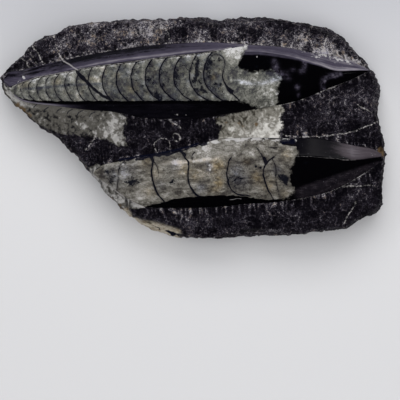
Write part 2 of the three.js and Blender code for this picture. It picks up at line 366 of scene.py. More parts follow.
LARGE_VEIN = [
    (2.1, [(-67, 33.5), (-66, 31), (-63.1, 28.1), (-60.3, 25.3)]),
    (1.6, [(-60.3, 25.3), (-56, 21.3), (-51, 17.7), (-47.6, 16)]),
]
LARGE_LAST_WALL = [
    (0.5, [(12.1, 42.5), (15, 41.7), (17.3, 39.6), (17.9, 36.7), (16.8, 32.4)]),
    (0.8, [(16.8, 32.4), (16.4, 29.2), (17.5, 26), (20, 22.4), (23.6, 18.1), (26.1, 15.9)]),
]
SIPHUNCLE = [
    (-97, 22.6), (-90.9, 22.8), (-82.9, 23.5), (-75.5, 24.1), (-70.6, 24.7), (-64, 24.8), (-54, 25.3),
]
LARGE_WEDGE = [
    (17.7, 24.6), (19.1, 23.7), (21.4, 22.3), (23.4, 21.4), (22.6, 19.7), (21.2, 19.1), (19.1, 21.1),
]
# The first is a pale vein; the second, along the chambers' far edge, is a painted highlight on the crest
LARGE_VEIN_AND_CREST_HIGHLIGHT = [
    (0.7, [(-75.1, 39.1), (-71.1, 36.2), (-66.5, 33.3)]),
    (0.3, [(-108, 19.5), (-104.5, 23.4), (-102.3, 25), *[(x, y + 0.5) for x, y in LARGE_CHAMBERS[5:16]]]),
]
LARGE_LOOPS = [
    [(74.6, 22.4), (74.3, 25.9), (76.1, 28.7), (79.5, 30), (84.1, 30.5)],
    [(63.8, 37.7), (63.3, 34.8), (62.1, 32)],
]
LARGE_STREAK = [(24, 27), (32, 25.5), (38.6, 25.6), (44.4, 27.4), (50.1, 28.8)]
LARGE_CLOUDS = [
    (22, 31.5, 4, -0.22), (30.5, 33, 3.5, -0.22), (43, 32, 4, -0.1), (27, 20.5, 4, -0.1),
    (43, 17, 6, 0.14),
]
LARGE_WISPS = [
    (-97.6, 29.4, 1.2, 1.1), (-99.6, 27.8, 1, 1), (-101.4, 26.4, 0.9, 0.8), (-96.4, 30.4, 0.8, 0.7),
    (36.6, 40.9, 0.8, 1), (73.3, 31.4, 0.6, 0.5),
    (-9.5, 7.6, 0.8, 0.9), (-10.8, 8, 0.6, 0.7), (-4.4, 7.6, 0.4, 0.9),
]
LARGE_FILMS = [
    (46.2, 38.2, 1.5, 0.7), (47.2, 35, 1.9, 0.8), (48.3, 32, 2, 0.8), (51, 30, 1.8, 0.8),
    (54.6, 28.6, 1.6, 0.5),
    (59.6, 23.4, 1.4, 0.8), (60.4, 19, 1.3, 0.8), (57, 33.4, 1.4, 0.4), (53.6, 31.8, 1.4, 0.35),
]
LARGE_SPOTS = [
    (-21.6, 19.2, 1.7, 1.1), (-19.8, 17.4, 1.5, 1), (-18.1, 32, 1, 0.7), (-17.5, 24.5, 1, 0.8),
    (-30.7, 34.3, 1, 0.7),
    (-29.6, 24, 1.1, 0.7), (-27.9, 21.1, 1.1, 0.8), (-36.5, 27.4, 1, 0.5), (-25.6, 27.4, 1.2, 0.8),
    (-23.3, 25.7, 1, 0.8), (-10.1, 31.4, 1.4, 0.9), (-9.9, 28.9, 1.2, 0.8), (-0.9, 19.9, 1.1, 0.6),
    (8.8, 38.9, 1.6, 1), (10, 37.2, 1.4, 0.9), (14.8, 38.6, 0.9, 1), (12.3, 25.1, 0.8, 1.3),
    (15.4, 24.8, 0.8, 1.3),
    (9, 30, 1.6, 0.8), (8.5, 34, 1.4, 0.7), (13, 34.5, 1.6, 0.4), (17.4, 20, 0.7, 0.9), (16.4, 21, 0.6, 0.9),
    (-82.9, 23.5, 1.1, 1.1), (-72, 24.6, 1.3, 1), (-69.4, 24.8, 1.2, 0.8), (1.4, 36, 2.6, 0.5),
    (2.4, 31, 2.2, 0.5), (-61, 19, 1.6, 0.7), (-69, 20, 1.4, 0.5), (-64, 21, 1, 0.6),
    (-47.9, 18, 1.4, 0.6), (-40.5, 18.5, 1.4, 0.5), (0.5, 27, 1.4, 0.8), (-3, 33, 1.2, 0.5),
    (2, 22, 1.4, 0.8),
]
LARGE_SMEARS = [
    [(2.6, 38.5), (1.6, 35), (2.2, 31.5), (1.2, 28)], [(3, 27), (4.2, 24.4), (5.4, 22), (6.8, 20.5)],
]
LARGE_RUST = [(11.1, 28.6, 1.8, 0.9), (-43, 30, 2, 0.5), (-36, 22, 2, 0.5), (-78, 27, 2, 0.5)]


def chamber_share(plan):
    """How far across its chamber each place is, 0 at its left wall and 1 at its right, and its tone."""
    x, y = plan.T
    walls = np.array([np.interp(y, *chamber_wall(x0)[:, ::-1].T) for x0 in LARGE_WALLS])
    left = (walls <= x).sum(axis=0) - 1
    inside = (left >= 0) & (left < len(walls) - 1)
    left = np.clip(left, 0, len(walls) - 2)
    place = np.arange(len(x))
    share = (x - walls[left, place]) / (walls[left + 1, place] - walls[left, place])
    tones = np.random.default_rng(3).uniform(-0.1, 0.1, len(walls))
    return np.where(inside, share, 0.5), tones[left]


# Painted sheen on the far flank by flank value, with a painted highlight on the crest: over most of the
# shell, at its left end and to the right
LARGE_SHEEN = [
    (-0.2, 0.35), (-0.1, 0.46), (0, 0.68), (0.08, 0.62), (0.2, 0.36), (0.3, 0.26), (0.5, 0.12), (0.65, 0.06),
    (0.9, 0.07), (0.96, 0.1), (1, 0.55),
]
LARGE_LEFT_SHEEN = [(0, 0.4), (0.2, 0.2), (0.7, 0.14), (0.85, 0.1), (0.94, 0.24), (1, 0.7)]
LARGE_RIGHT_SHEEN = [
    (-0.28, 0.22), (-0.03, 0.3), (0, 0.56), (0.1, 0.56), (0.3, 0.5), (0.6, 0.46), (0.9, 0.48), (1, 0.7),
]


def large_marks(plan, warped, flank):
    """The large shell's values. Warped is the plan shifted a little, so that drawn lines are uneven."""
    x, y = plan.T
    over_edge = y - line_at(x, LARGE_FAR_EDGE)
    share, chamber = chamber_share(plan)
    right = ramp(x, -60, -30) * ramp(-x, -19, -15)
    patch = ramp(x, 16, 20)
    on_face = ramp(-flank, -0.1, 0.1)
    siphuncle = glow(plan, [smooth_line(SIPHUNCLE)], 0.8)
    streak = glow(plan, [smooth_line(LARGE_STREAK)], 1.5)
    smears = glow(warped, map(smooth_line, LARGE_SMEARS), 1.1)
    films = glow(warped, map(smooth_line, LARGE_LOOPS), 1.5) + spot_sum(plan, LARGE_FILMS)
    films *= 0.65 + 0.7 * fractal(x / 1.4, y / 1.4, 132, bend=0.5)
    films = np.clip(films, 0, 1) * on_face

    walls = [(0.36 + 0.42 * ramp(x0, -100, -40), chamber_wall(x0)) for x0 in LARGE_WALLS[:-1]]
    ink = line_level(warped, walls + LARGE_LAST_WALL + LARGE_VEIN) + 0.12 * noise(x / 2, y / 2, 61)
    chambers = 0.47 + chamber + 0.2 * fractal(x / 6, y / 6, 62)
    chambers += 0.18 * fractal(x / 1.9, y / 1.9, 65, bend=0.5)
    chambers += 0.13 * mosaic(x / 1.7 + 0.2 * noise(x, y, 70), y / 1.5, 71)
    chambers += 0.16 * (share - 0.5) - 0.12 * right - 0.22 * siphuncle
    # A painted highlight along the far edge, and the chambers lighter towards it
    chambers += 0.22 * ramp(over_edge, -1.3, -0.6) + 0.12 * ramp(over_edge, -7, -2)
    frost = 0.46 + 0.36 * crystals(plan, (33, 14), 73) + 0.3 * streak + spot_sum(plan, LARGE_CLOUDS)
    frost += 0.55 * ramp(y, 36, 41) * ramp(-x, -34, -28)
    mottle = 0.5 * right * (1 - share) ** 2 + spot_sum(plan, LARGE_SPOTS) + 0.2 * siphuncle
    dark = 0.3 * fractal(x / 1.7, y / 2, 85, octaves=3, fade=0.8, bend=0.8) + 0.5 * mottle + 0.5 * smears
    dark += 0.12 * right - 0.14 * patch - 0.05 * ramp(-x, 40, 60)
    blue = np.maximum(0.4 * patch * streak, (0.3 + 0.5 * right) * (1 - patch) * fractal(x / 3, y / 3, 99))
    blue += 0.6 * siphuncle + 0.45 * ramp(x, 38, 47) * ramp(y, 24, 30)
    warm = 0.3 * ramp(fractal(x / 4, y / 4, 103), 0.1, 0.8) * (1 - patch) + 0.8 * spot_sum(plan, LARGE_RUST)

    # The far flank's painted sheen: a painted highlight on the crest and painted reflection down the flank,
    # with streaks
    sheen = line_at(flank, LARGE_SHEEN)
    left_sheen = line_at(flank, LARGE_LEFT_SHEEN) + 0.14 * fractal(x / 4, 6 * flank, 128)
    sheen += ramp(-x, 60, 80) * (left_sheen - sheen)
    sheen += ramp(x, -25, 20) * (line_at(flank, LARGE_RIGHT_SHEEN) - sheen)
    # A stronger painted highlight on the crest towards the right tip
    sheen += 0.15 * ramp(x, 70, 88) * ramp(flank, 0, 0.2)
    sheen -= 0.12 * ramp(flank, 0.25, 0.4) * ramp(-flank, -0.7, -0.55) * ramp(x, 40, 60)
    sheen += (0.12 + 0.16 * ramp(x, 45, 70)) * fractal(x / 22, 9 * flank, 93)
    sheen += 0.06 * fractal(x / 3, 5 * flank, 96)
    # A faint painted sheen on the near flank
    sheen = np.where(flank < NEAR_FLANK, 0.08 + 0.04 * fractal(x / 8, y, 98), sheen)
    low_left = ramp(-flank, 3.8, 4.2) * ramp(-x, 62, 80)
    sheen += 0.6 * low_left
    sheen += films * (0.6 - sheen) * on_face
    # Where the flank's greys, with painted sheen and painted reflection, cover the black
    far_flank_sheen = ramp(flank, -0.02, 0.06)
    tip_grey_and_sheen = ramp(over_edge, 0.7, 1.2) * ramp(-x, -18, -14)
    # Painted sheen over the near flank
    near_flank_sheen = 0.4 * ramp(-y, -14.2, -13.4) * ramp(-x, -30, 10)
    # A painted sheen on the face's rounded edge beside the far crest
    strip = ramp(flank, -0.28, -0.2) * ramp(x, 27, 30) * ramp(-x, -78, -70)

    streaks = fractal((x - 0.3 * y) / 2.4, (y + 0.3 * x) / 0.8, 127, fade=0.8, bend=0.6)
    powder = ramp(flank, 0.35, 0.9) * ramp(x, 56, 70) * ramp(-x, -98, -88) * (0.35 + 1.7 * streaks)
    powder += spot_sum(plan, LARGE_WISPS) * (0.7 + 0.7 * fractal(x / 1.2, y / 1.6, 97, bend=0.5))
    return {
        "calcite": to_region(warped, LARGE_CHAMBERS),
        "ink": np.maximum(ink, to_region(warped, LARGE_WEDGE)),
        "navy": np.full(len(x), FAR_OFF),
        "pale": line_level(warped, LARGE_VEIN_AND_CREST_HIGHLIGHT),
        "powder": powder,
        "dark": dark,
        "tone": chambers + patch * (frost - chambers),
        "blue": blue,
        "frayed": ramp(x, 25, 30),
        "warm": warm,
        "grey_and_sheen": np.maximum.reduce([far_flank_sheen, tip_grey_and_sheen, near_flank_sheen, strip, low_left, films]),
        "sheen": sheen,
    }


# Markings of the small shell, seen from above

SMALL_CHAMBERS = [
    (-57.6, -25), (-51.9, -20.8), (-42.7, -17.8), (-33, -16.2), (-21.5, -14), (-12.4, -12.6), (-1.5, -9.6),
    (7.1, -7), (11.1, -5.8), (18.6, -5.2), (35.8, -6.2), (49.5, -6.4), (50.7, -9.3), (59.2, -11),
    (59.2, -13.9), (58.7, -16.2), (56.7, -19.6), (55.4, -23.6), (54.4, -27.6), (55.4, -32.8),
    (57.4, -36.2), (54.4, -40), (50.1, -40.8), (42.6, -41.4), (38, -40.7), (31.7, -39.7), (24.3, -38.9),
    (19.1, -38.7), (6, -39.1), (-3.8, -39.7), (-10.7, -40.6), (-17, -42.5), (-27.3, -45.1),
    (-33.5, -46), (-42, -41.5), (-48.5, -37), (-55.5, -32), (-61, -26),
]


SMALL_DARK_LINES = [
    (0.55, [(-40.2, -19.4), (-42.6, -21.5), (-43.4, -26.5), (-43.6, -31.1), (-44.2, -35.7)]),
    (1, [(-25, -16.7), (-23.8, -19.6), (-24.1, -24.2), (-23.6, -29.9), (-22.1, -34.5), (-20.4, -38.5),
         (-17, -42.2)]),
    (0.4, [(-23.8, -18.5), (-21.5, -21.3), (-20.1, -25.9)]),
    (1, [(-6.8, -14.4), (-5, -17.4), (-3, -20), (-3.3, -25.2), (-3.3, -28.7), (-1.8, -33.9), (0.2, -37.3),
         (3.1, -39.1), (7.1, -39.8)]),
    (0.4, [(0.8, -13.6), (-0.6, -15.6), (-0.9, -17.9)]),
    (0.8, [(21.9, -16.5), (20.2, -19.2), (19.3, -22.6), (19, -26.9), (20.4, -33.5), (23, -37), (27.3, -38.5),
           (32.4, -38.9)]),
    (0.15, [(52.6, -12.4), (50.1, -13.9), (46.6, -16.2), (42.9, -19)]),
    (0.8, [(46, -16.7), (42.9, -19), (40.9, -21.9), (40, -25.9),
           (40.7, -29.9), (42.6, -35.3), (44.9, -39.4), (46.1, -41.4)]),
    (0.55, [(44.9, -17.8), (46.4, -20.8), (47.2, -24.2), (47.2, -29.9), (48.5, -36.6), (49.9, -41.1)]),
    (0.5, [(35.8, -11), (37.7, -13), (40, -17.5), (41.2, -20.5)]),
    (0.7, [(43.3, -11.1), (47.9, -11.5)]),
    (2, [(-24.6, -17), (-23.6, -18.8)]),
    (1.8, [(-7, -13.5), (-5, -15.7)]),
    (1.9, [(40.4, -17.6), (41.3, -19.9)]),
    (0.35, [(-42.6, -23.5), (-41.6, -21.6), (-39.1, -20)]),
]
SMALL_NAVY_LINES = [
    (1, [(-42.9, -19), (-33.1, -17.4)]),
    (2.6, [(-33.1, -17.6), (-27, -16.4), (-21.6, -15.4), (-6.7, -12.2), (2.5, -9.4), (7, -8)]),
    (1.6, [(-16, -15.2), (-11.5, -14)]),
    (3, [(50.2, -7.9), (57, -7.7)]),
]
# The first runs along the crest as a painted highlight; the second is a pale streak
SMALL_CREST_HIGHLIGHT_AND_STREAK = [
    (0.1, [(56.4, -16.5), (64.4, -16.5), (74.7, -17.1), (85, -18.1), (93.1, -18.5)]),
    (0.25, [(20.9, -41.2), (24, -40.7), (27.2, -40.6)]),
]
SMALL_SPOTS = [
    (-36.1, -31.4, 3.4, 0.7), (-36, -31.9, 1.3, 1.2), (-12.6, -31.2, 1.6, 1.1), (52.2, -29.4, 2.1, 2.2),
    (8, -22.2, 1.2, 0.5), (4, -23, 2.4, 0.3), (3, -20.8, 3, 0.2), (-38.5, -30.4, 2, 0.6),
    (-33, -30.6, 2.4, 0.5), (-13.2, -31.9, 2.4, 0.4),
    (-15.8, -34.6, 1.8, 0.5), (-46, -28.7, 2.2, 1.1), (-50, -25.2, 2, 1.1), (-47.8, -31.6, 2, 0.9),
    (-46.5, -24.6, 1.4, 0.7), (4.2, -32.1, 2, 0.6), (21, -28.4, 1.6, 0.6), (27.3, -28.7, 2, 0.6),
    (22.4, -31.8, 3, 0.55), (25.4, -29.4, 2.4, 0.45), (24, -35, 2.6, 0.4), (22.6, -26.2, 2.4, 0.45),
    (28.5, -37.3, 1, 0.6), (35.4, -22.3, 0.9, 1.8),
    (38.3, -22.9, 0.9, 1.8), (48.1, -26.9, 1.8, 0.7), (50.4, -29.2, 3, 0.6), (53, -31, 1.4, 1),
    (46.4, -22.3, 1.2, 0.6), (33, -31, 2, 0.3), (8, -22, 1.5, 0.4), (2, -24, 2, 0.3), (-22, -36, 1.5, 0.3),
]
SMALL_ARMS = [
    [(-36.1, -31.4), (-33, -29.8), (-29.6, -29.6)], [(-36.1, -31.4), (-39.6, -30.8)],
    [(-35.8, -31), (-34.6, -28.6)],
    [(-34, -30.6), (-31, -31.4)], [(-36.4, -32), (-38, -33.6)],
    [(-12.8, -31.2), (-11.6, -29.6)],
    [(22, -31.2), (25.2, -28.6), (28.4, -29.4)], [(23.4, -33.4), (26.6, -31.6)],
    [(21.6, -28.6), (24.4, -26.4)],
    [(51, -29.8), (48.6, -27.6)], [(51, -29.8), (53.4, -32.6)], [(51.4, -29.4), (50.6, -26.2)],
]
SMALL_BLUES = [
    (-10.2, -21.2, 3, 0.7), (8.8, -24.1, 1.8, 1), (8.2, -20.6, 1.6, 0.8), (26.2, -29.8, 5, 0.8),
    (23.3, -24, 4, 0.6),
    (-37.9, -24, 5, 0.5), (4.8, -34.5, 3, 0.8), (47.5, -24, 2.5, 0.8), (-46, -28, 6, 0.6), (-20, -33, 3, 0.4),
]
SMALL_WISPS = [
    (9.2, -21.5, 0.9, 0.8), (9.3, -24, 0.8, 0.9), (9.1, -26.5, 0.8, 0.6), (6.4, -34, 1.2, 0.4),
    (-40.6, -20.8, 1.2, 0.7),
    (5.6, -11.6, 1.5, 0.9), (0, -19.3, 1.4, 0.6), (4, -18.8, 1.4, 0.6), (58.6, -7.2, 0.9, 0.8),
    (102.8, -15.6, 0.7, 0.5), (104.4, -15, 0.5, 0.5),
]
SMALL_CREST = [(-58, -26), (-43, -22), (-21.6, -20.2), (1.4, -18.4), (24.3, -17.3), (53, -16.7), (95, -18.4)]
# Below this line the small shell's face gets a painted reflection
SMALL_REFLECTION_LINE = [(57, -35), (105, -19)]
# Painted sheen of the small shell's far flank along x
SMALL_SHEEN = [(47, 0.04), (72, 0), (78, 0.02), (84, 0.2), (91, 0.54), (99, 0.44), (104, 0.4)]
SMALL_WARMTH = [
    (14.6, -31, 2.6, 1.1), (11.7, -24, 4, 0.6), (-27.5, -19, 3.5, 0.6), (-5.6, -24, 3.5, 0.7),
    (15.8, -21.2, 4, 0.7),
    (30.2, -19.4, 2, 0.6), (36, -28.1, 3.5, 0.8), (42.9, -32.7, 4, 0.6), (-21.8, -26, 3, 0.5),
    (1.3, -26.9, 4, 0.6),
    (53.3, -15.4, 3, 0.6), (12, -35, 4, 0.5), (52, -38, 3, 0.4), (-25, -36, 4, 0.4),
]


def small_marks(plan, warped, flank):
    """The small shell's values. Warped is the plan shifted a little, so that drawn lines are uneven."""
    x, y = plan.T
    above = y - line_at(x, SMALL_CREST)
    # A painted highlight: just above the crest the calcite is lighter and less mottled
    painted_light_above_crest = ramp(above, 0, 1.5)
    middle = ramp(x, -5, 10) * ramp(-x, -60, -45)
    # A painted highlight along the crest, lighter and warmer
    painted_crest_highlight = np.exp(-((above + 0.4) / 1.4) ** 2) * ramp(x, -22, -10) * ramp(-x, -16, -9)
    tone = 0.44 + 0.22 * fractal(x / 8, y / 5, 81) + 0.3 * fractal(x / 2.8, y / 1.3, 84, bend=0.6)
    tone -= 0.13 * ramp(x, 12, 30)
    tone += 0.06 * mosaic(x / 1.9 + 0.2 * noise(x, y, 88), y / 1.5, 89) + 0.6 * painted_crest_highlight + 0.16 * painted_light_above_crest * middle
    tone += 0.2 * ramp(-x, 30, 45) * fractal(x / 2.4, y / 2.4, 104)
    dark = 0.28 * fractal(x / 2.6, y / 1.5, 106, octaves=3, fade=0.8, bend=0.9)
    dark += 0.5 * spot_sum(plan, SMALL_SPOTS) + 0.34 * glow(warped, SMALL_ARMS, 0.45)
    dark += 0.02 * ramp(-x, 40, 46) + 0.04 * ramp(x, 20, 30) - 0.16 * painted_light_above_crest - 0.02
    warm = (spot_sum(plan, SMALL_WARMTH) + 0.3 * painted_crest_highlight) * (0.8 + 0.6 * fractal(x / 2, y / 1.5, 121))
    powder = ramp(flank, 0.6, 1) * ramp(x, 5, 11) * ramp(-x, -60, -52)
    powder *= 0.9 + 1.3 * fractal(x / 2.5, y / 1.2, 113)
    powder += spot_sum(plan, SMALL_WISPS)
    # The far flank's painted sheen and painted reflection along x
    sheen = line_at(x, SMALL_SHEEN)
    sheen += ramp(x, 70, 80) * (0.1 * fractal(x / 15, 6 * flank, 115) - 0.22 * ramp(-flank, -0.3, -0.1))
    sheen = np.where(flank < 0, 0.12 + 0.05 * fractal(x / 2, y / 2, 130), sheen)
    # Painted reflection on the lower right of the face, where it curves down
    haze = ramp(line_at(x, SMALL_REFLECTION_LINE) - y, -0.5, 1.5) * ramp(x, 57, 62)
    return {
        "calcite": to_region(warped, SMALL_CHAMBERS),
        "ink": line_level(warped, SMALL_DARK_LINES) + 0.15 * noise(x / 2, y / 2, 88),
        "navy": line_level(warped, SMALL_NAVY_LINES) + 0.6 * fractal(x / 2.5, y / 2.5, 124),
        "pale": line_level(warped, SMALL_CREST_HIGHLIGHT_AND_STREAK),
        "powder": powder,
        "dark": dark,
        "tone": tone,
        "blue": spot_sum(plan, SMALL_BLUES) * (0.8 + 0.5 * fractal(x / 2, y / 1.5, 118)),
        "frayed": ramp(x, 50, 54) * ramp(-y, 12, 15),
        "warm": np.clip(warm, 0, 1),
        "grey_and_sheen": np.maximum(ramp(flank, -0.02, 0.06), haze),
        "sheen": sheen,
    }


# Rock: its markings, seen from above

THIRD_SHELL = [
    (-117, 15), (-117, 29), (-109.6, 25.8), (-106, 22), (-101.3, 19), (-90.9, 16.5), (-79.4, 15),
    (-62.1, 12.5),
    (-47.1, 10.5), (-37.9, 6.5),
    (-39.6, 1.9), (-40.8, -2.7), (-39.6, -6.8), (-37.9, -10.2), (-43.6, -10.2), (-50.6, -6.8),
    (-56.9, -5.1), (-66, -4), (-76, -3.4), (-84, -1), (-92, 2), (-99, 5.5), (-107, 11),
]
# The first line is a painted shadow along the slab's lower-left edge; the second is a navy line beside the
# small shell
ROCK_LINE_AND_EDGE_SHADOW = [
    (2.6, [(-23.5, -57.4), (-18, -59.6), (-12, -61.6), (-8, -62.4)]),
    (1, [(-42.9, -18.2), (-33.1, -16.6), (-21.6, -14.8), (-6.7, -11.6), (2.5, -8.8)]),
]
THIRD_WALLS = [
    (0.5, [(-92.8, 11.8), (-90.5, 13.8)]),
    (0.5, [(-86.5, 9.4), (-85.7, 10.8), (-83.8, 12.1)]),
    (0.5, [(-79.3, 8.6), (-78.4, 10.2), (-76.1, 11.5)]),
    (0.5, [(-73, 8.4), (-72, 9.8), (-69.7, 11)]),
    (0.5, [(-67.2, 7.5), (-66.2, 9.1), (-63.4, 10.5)]),
    (0.5, [(-60.3, 6.4), (-59.4, 8), (-57, 9.4)]),
]
THIRD_BRIGHT = [
    (-106, 19, 5, 0.5), (-49, 0, 6, 0.35), (-44, 6, 5, 0.3), (-45, -6, 4, 0.3), (-63, 2, 4, 0.15),
    (-80, 9, 4, 0.1),
]
ROCK_BROWN = [
    (26.2, 3.1, 1.3, 0.8), (28.5, 1.1, 1.1, 0.7), (36, 2.2, 1.4, 1), (42.9, -3, 1.2, 0.5),
    (18.1, 3.1, 1.6, 0.6),
    (-47.5, -40.5, 1.6, 0.8), (-43, -44.5, 1.8, 0.8), (-38.5, -46.5, 1.6, 0.6), (-53, -34, 1.3, 0.5),
    (-102, 13.5, 2, 0.9), (-99, 10.5, 2.4, 0.9), (-95.5, 7.5, 2.2, 0.8), (-92, 5, 2, 0.4),
    (108, -13.7, 2.8, 1.4),
]
WHITE_PATCH = [
    (12.9, 6.2), (21.5, 8.4), (33.1, 10.7), (42.9, 12.5), (49, 14.4), (52.4, 11), (49.6, 6.4), (51.8, 1.3),
    (48.6, -2.6), (51.2, -8), (42.9, -8), (34.2, -8), (25.6, -8), (14.5, -8), (14.6, -2.2), (16.3, 1.3),
    (12.9, 3.6),
]
ROCK_PALE_LINES = [
    (1.2, [(-81.7, 55.5), (-80.9, 53)]),
    (0.2, [(-80.6, 52), (-79.3, 48), (-77.8, 44), (-76.8, 41)]),
    (1.3, [(-77, 41.5), (-75.4, 39)]),
    (0.6, [(-25.8, 57.8), (-20, 58), (-16, 57.4), (-14.2, 52)]),
    (0.6, [(66.5, 56.6), (65, 52), (64.2, 48)]),
    (0.4, [(77.5, 54.9), (76, 50), (75.1, 45.1)]),
    (0.6, [(50.5, -3.6), (55, -4.6), (59, -5)]),
    (0.5, [(59, -5), (67.8, -5.2), (74.9, -4.6), (85, -3), (94.8, -1), (107.3, 4.3)]),
    (0.5, [(94.2, 13.6), (100, 10), (106.7, 6.4)]),
    (0.5, [(94.2, -42), (92.5, -45.5), (89.9, -49.2), (86.1, -54.9)]),
    (0.45, [(-56.3, -3.3), (-59, -8), (-62.7, -13.1)]),
    (0.4, [(82.6, -33.9), (95, -33.2), (106.3, -33.3)]),
    (0.4, [(-14.2, 5.3), (-12.5, 3.6), (-10.2, 1.9), (-7.3, 0.1)]),
    (0.5, [(50.4, 13.5), (63, 17.1), (75.1, 21.8), (91.3, 28.6), (99.9, 32.7)]),
    (0.5, [(55, -41.7), (64.8, -40), (75.1, -37.3), (83.8, -34.1), (91.3, -30.1), (98.2, -26.2),
           (103.4, -22.4)]),
    (0.4, [(-97, 46), (-93, 41.5), (-89.5, 36.5)]),
    (0.4, [(-94, 48.5), (-90, 43.5), (-86.5, 37.5)]),
    (0.35, [(-100, 41), (-96.5, 38), (-94, 34)]),
]
GREY_RIM = [
    (-62, -23.5), (-57, -31), (-52, -37), (-47, -42), (-41.5, -45.4), (-34.5, -46.2), (-29.3, -45.6),
    (-29.3, -41.4), (-43.7, -31.6), (-55.3, -21.2),
]
TAN_RIM = [
    (-45, -47), (-39, -46), (-36.5, -49), (-36.2, -51.4),
    (-30.4, -53.2), (-21.8, -54.6), (-13.1, -57.2), (-8, -59),
    (-7, -66), (-25, -62), (-36, -58),
]
ROCK_DUST = [
    (-95, 37, 8, 0.5), (-73.7, 48.1, 9, 0.6), (-57.6, 55.6, 9, 0.9), (-39, 53.3, 9, 0.8), (-21.8, 54.7, 9, 1),
    (4.2, 51, 10, 0.8), (24.4, 51.2, 9, 0.9), (42, 52, 8, 0.6), (56, 48.6, 8, 0.9), (65, 54, 5, 0.9),
    (76.4, 47, 7, 0.9), (88, 40.5, 6, 0.9), (96, 34.5, 5, 0.8), (100, 15, 12, 0.35), (75, 8, 16, 0.35),
    (69.5, 45.3, 2.5, 1.4), (75.3, 44.1, 2.5, 1.6), (82.2, 41.4, 2.5, 1.8), (88, 39.3, 2.5, 2),
    (93.7, 37, 2.5, 1.8),
    (90, -35, 16, 0.35), (0, -50, 16, 0.4), (45, -52, 18, 0.4), (-35, -6, 10, 0.15), (-60, -12, 10, 0.4),
    (-48, 2, 8, 0.3),
]
ROCK_RINGS = [(-10.2, -5.1, 2.1, 0.3), (-18.3, -10.2, 4.6, 0.1)]

# Reading the CAD rock with rays: where they start, how many there are and the levels of the side's loops.
# Then the room left round the rim and the shells, and the noises of the rim, the side and the face.
SLAB_MIDDLE = (7, -1)
GUIDE_LEVEL = 9
SIDE_LEVELS = [0.15, 1, 2, 4, 6, 9, 12, 14.5, 16]
RIM_LEAN = 0.25
RIM_ROOM = 0.9
CAST_FROM = 12
CAST_HEIGHT = 60
GUIDE_RAYS = 1600
FACE_MARGIN = 3
FACE_CLEAR = 0.9
CORE_DEPTH = 17
TOP_GAP = 0.1
RIM_CHIPS = [(0.55, 2.4, 2.4, 31), (0.3, 1.1, 1.1, 32)]
SIDE_CHIPS = [(0.9, 4.6, 3.6, 33), (0.5, 1.6, 1.6, 34)]
FACE_LUMPS = [(0.5, 5.5, 5.5, 24), (0.28, 0.95, 0.95, 25)]
SHELL_NODES = ["large_orthoceras", "small_orthoceras"]


def even_loop(points, step):
    """A closed loop's points at even steps."""
    closed = np.vstack([points, points[:1]])
    length = np.append(0, np.cumsum(np.hypot(*np.diff(closed, axis=0).T)))
    count = int(length[-1] / step)
    at = np.linspace(0, length[-1], count, endpoint=False)
    return np.c_[np.interp(at, length, closed[:, 0]), np.interp(at, length, closed[:, 1])]


def soften(values, passes):
    """Runs a short average round a closed loop of numbers."""
    for _ in range(passes):
        values = (np.roll(values, 1, 0) + 2 * values + np.roll(values, -1, 0)) / 4
    return values


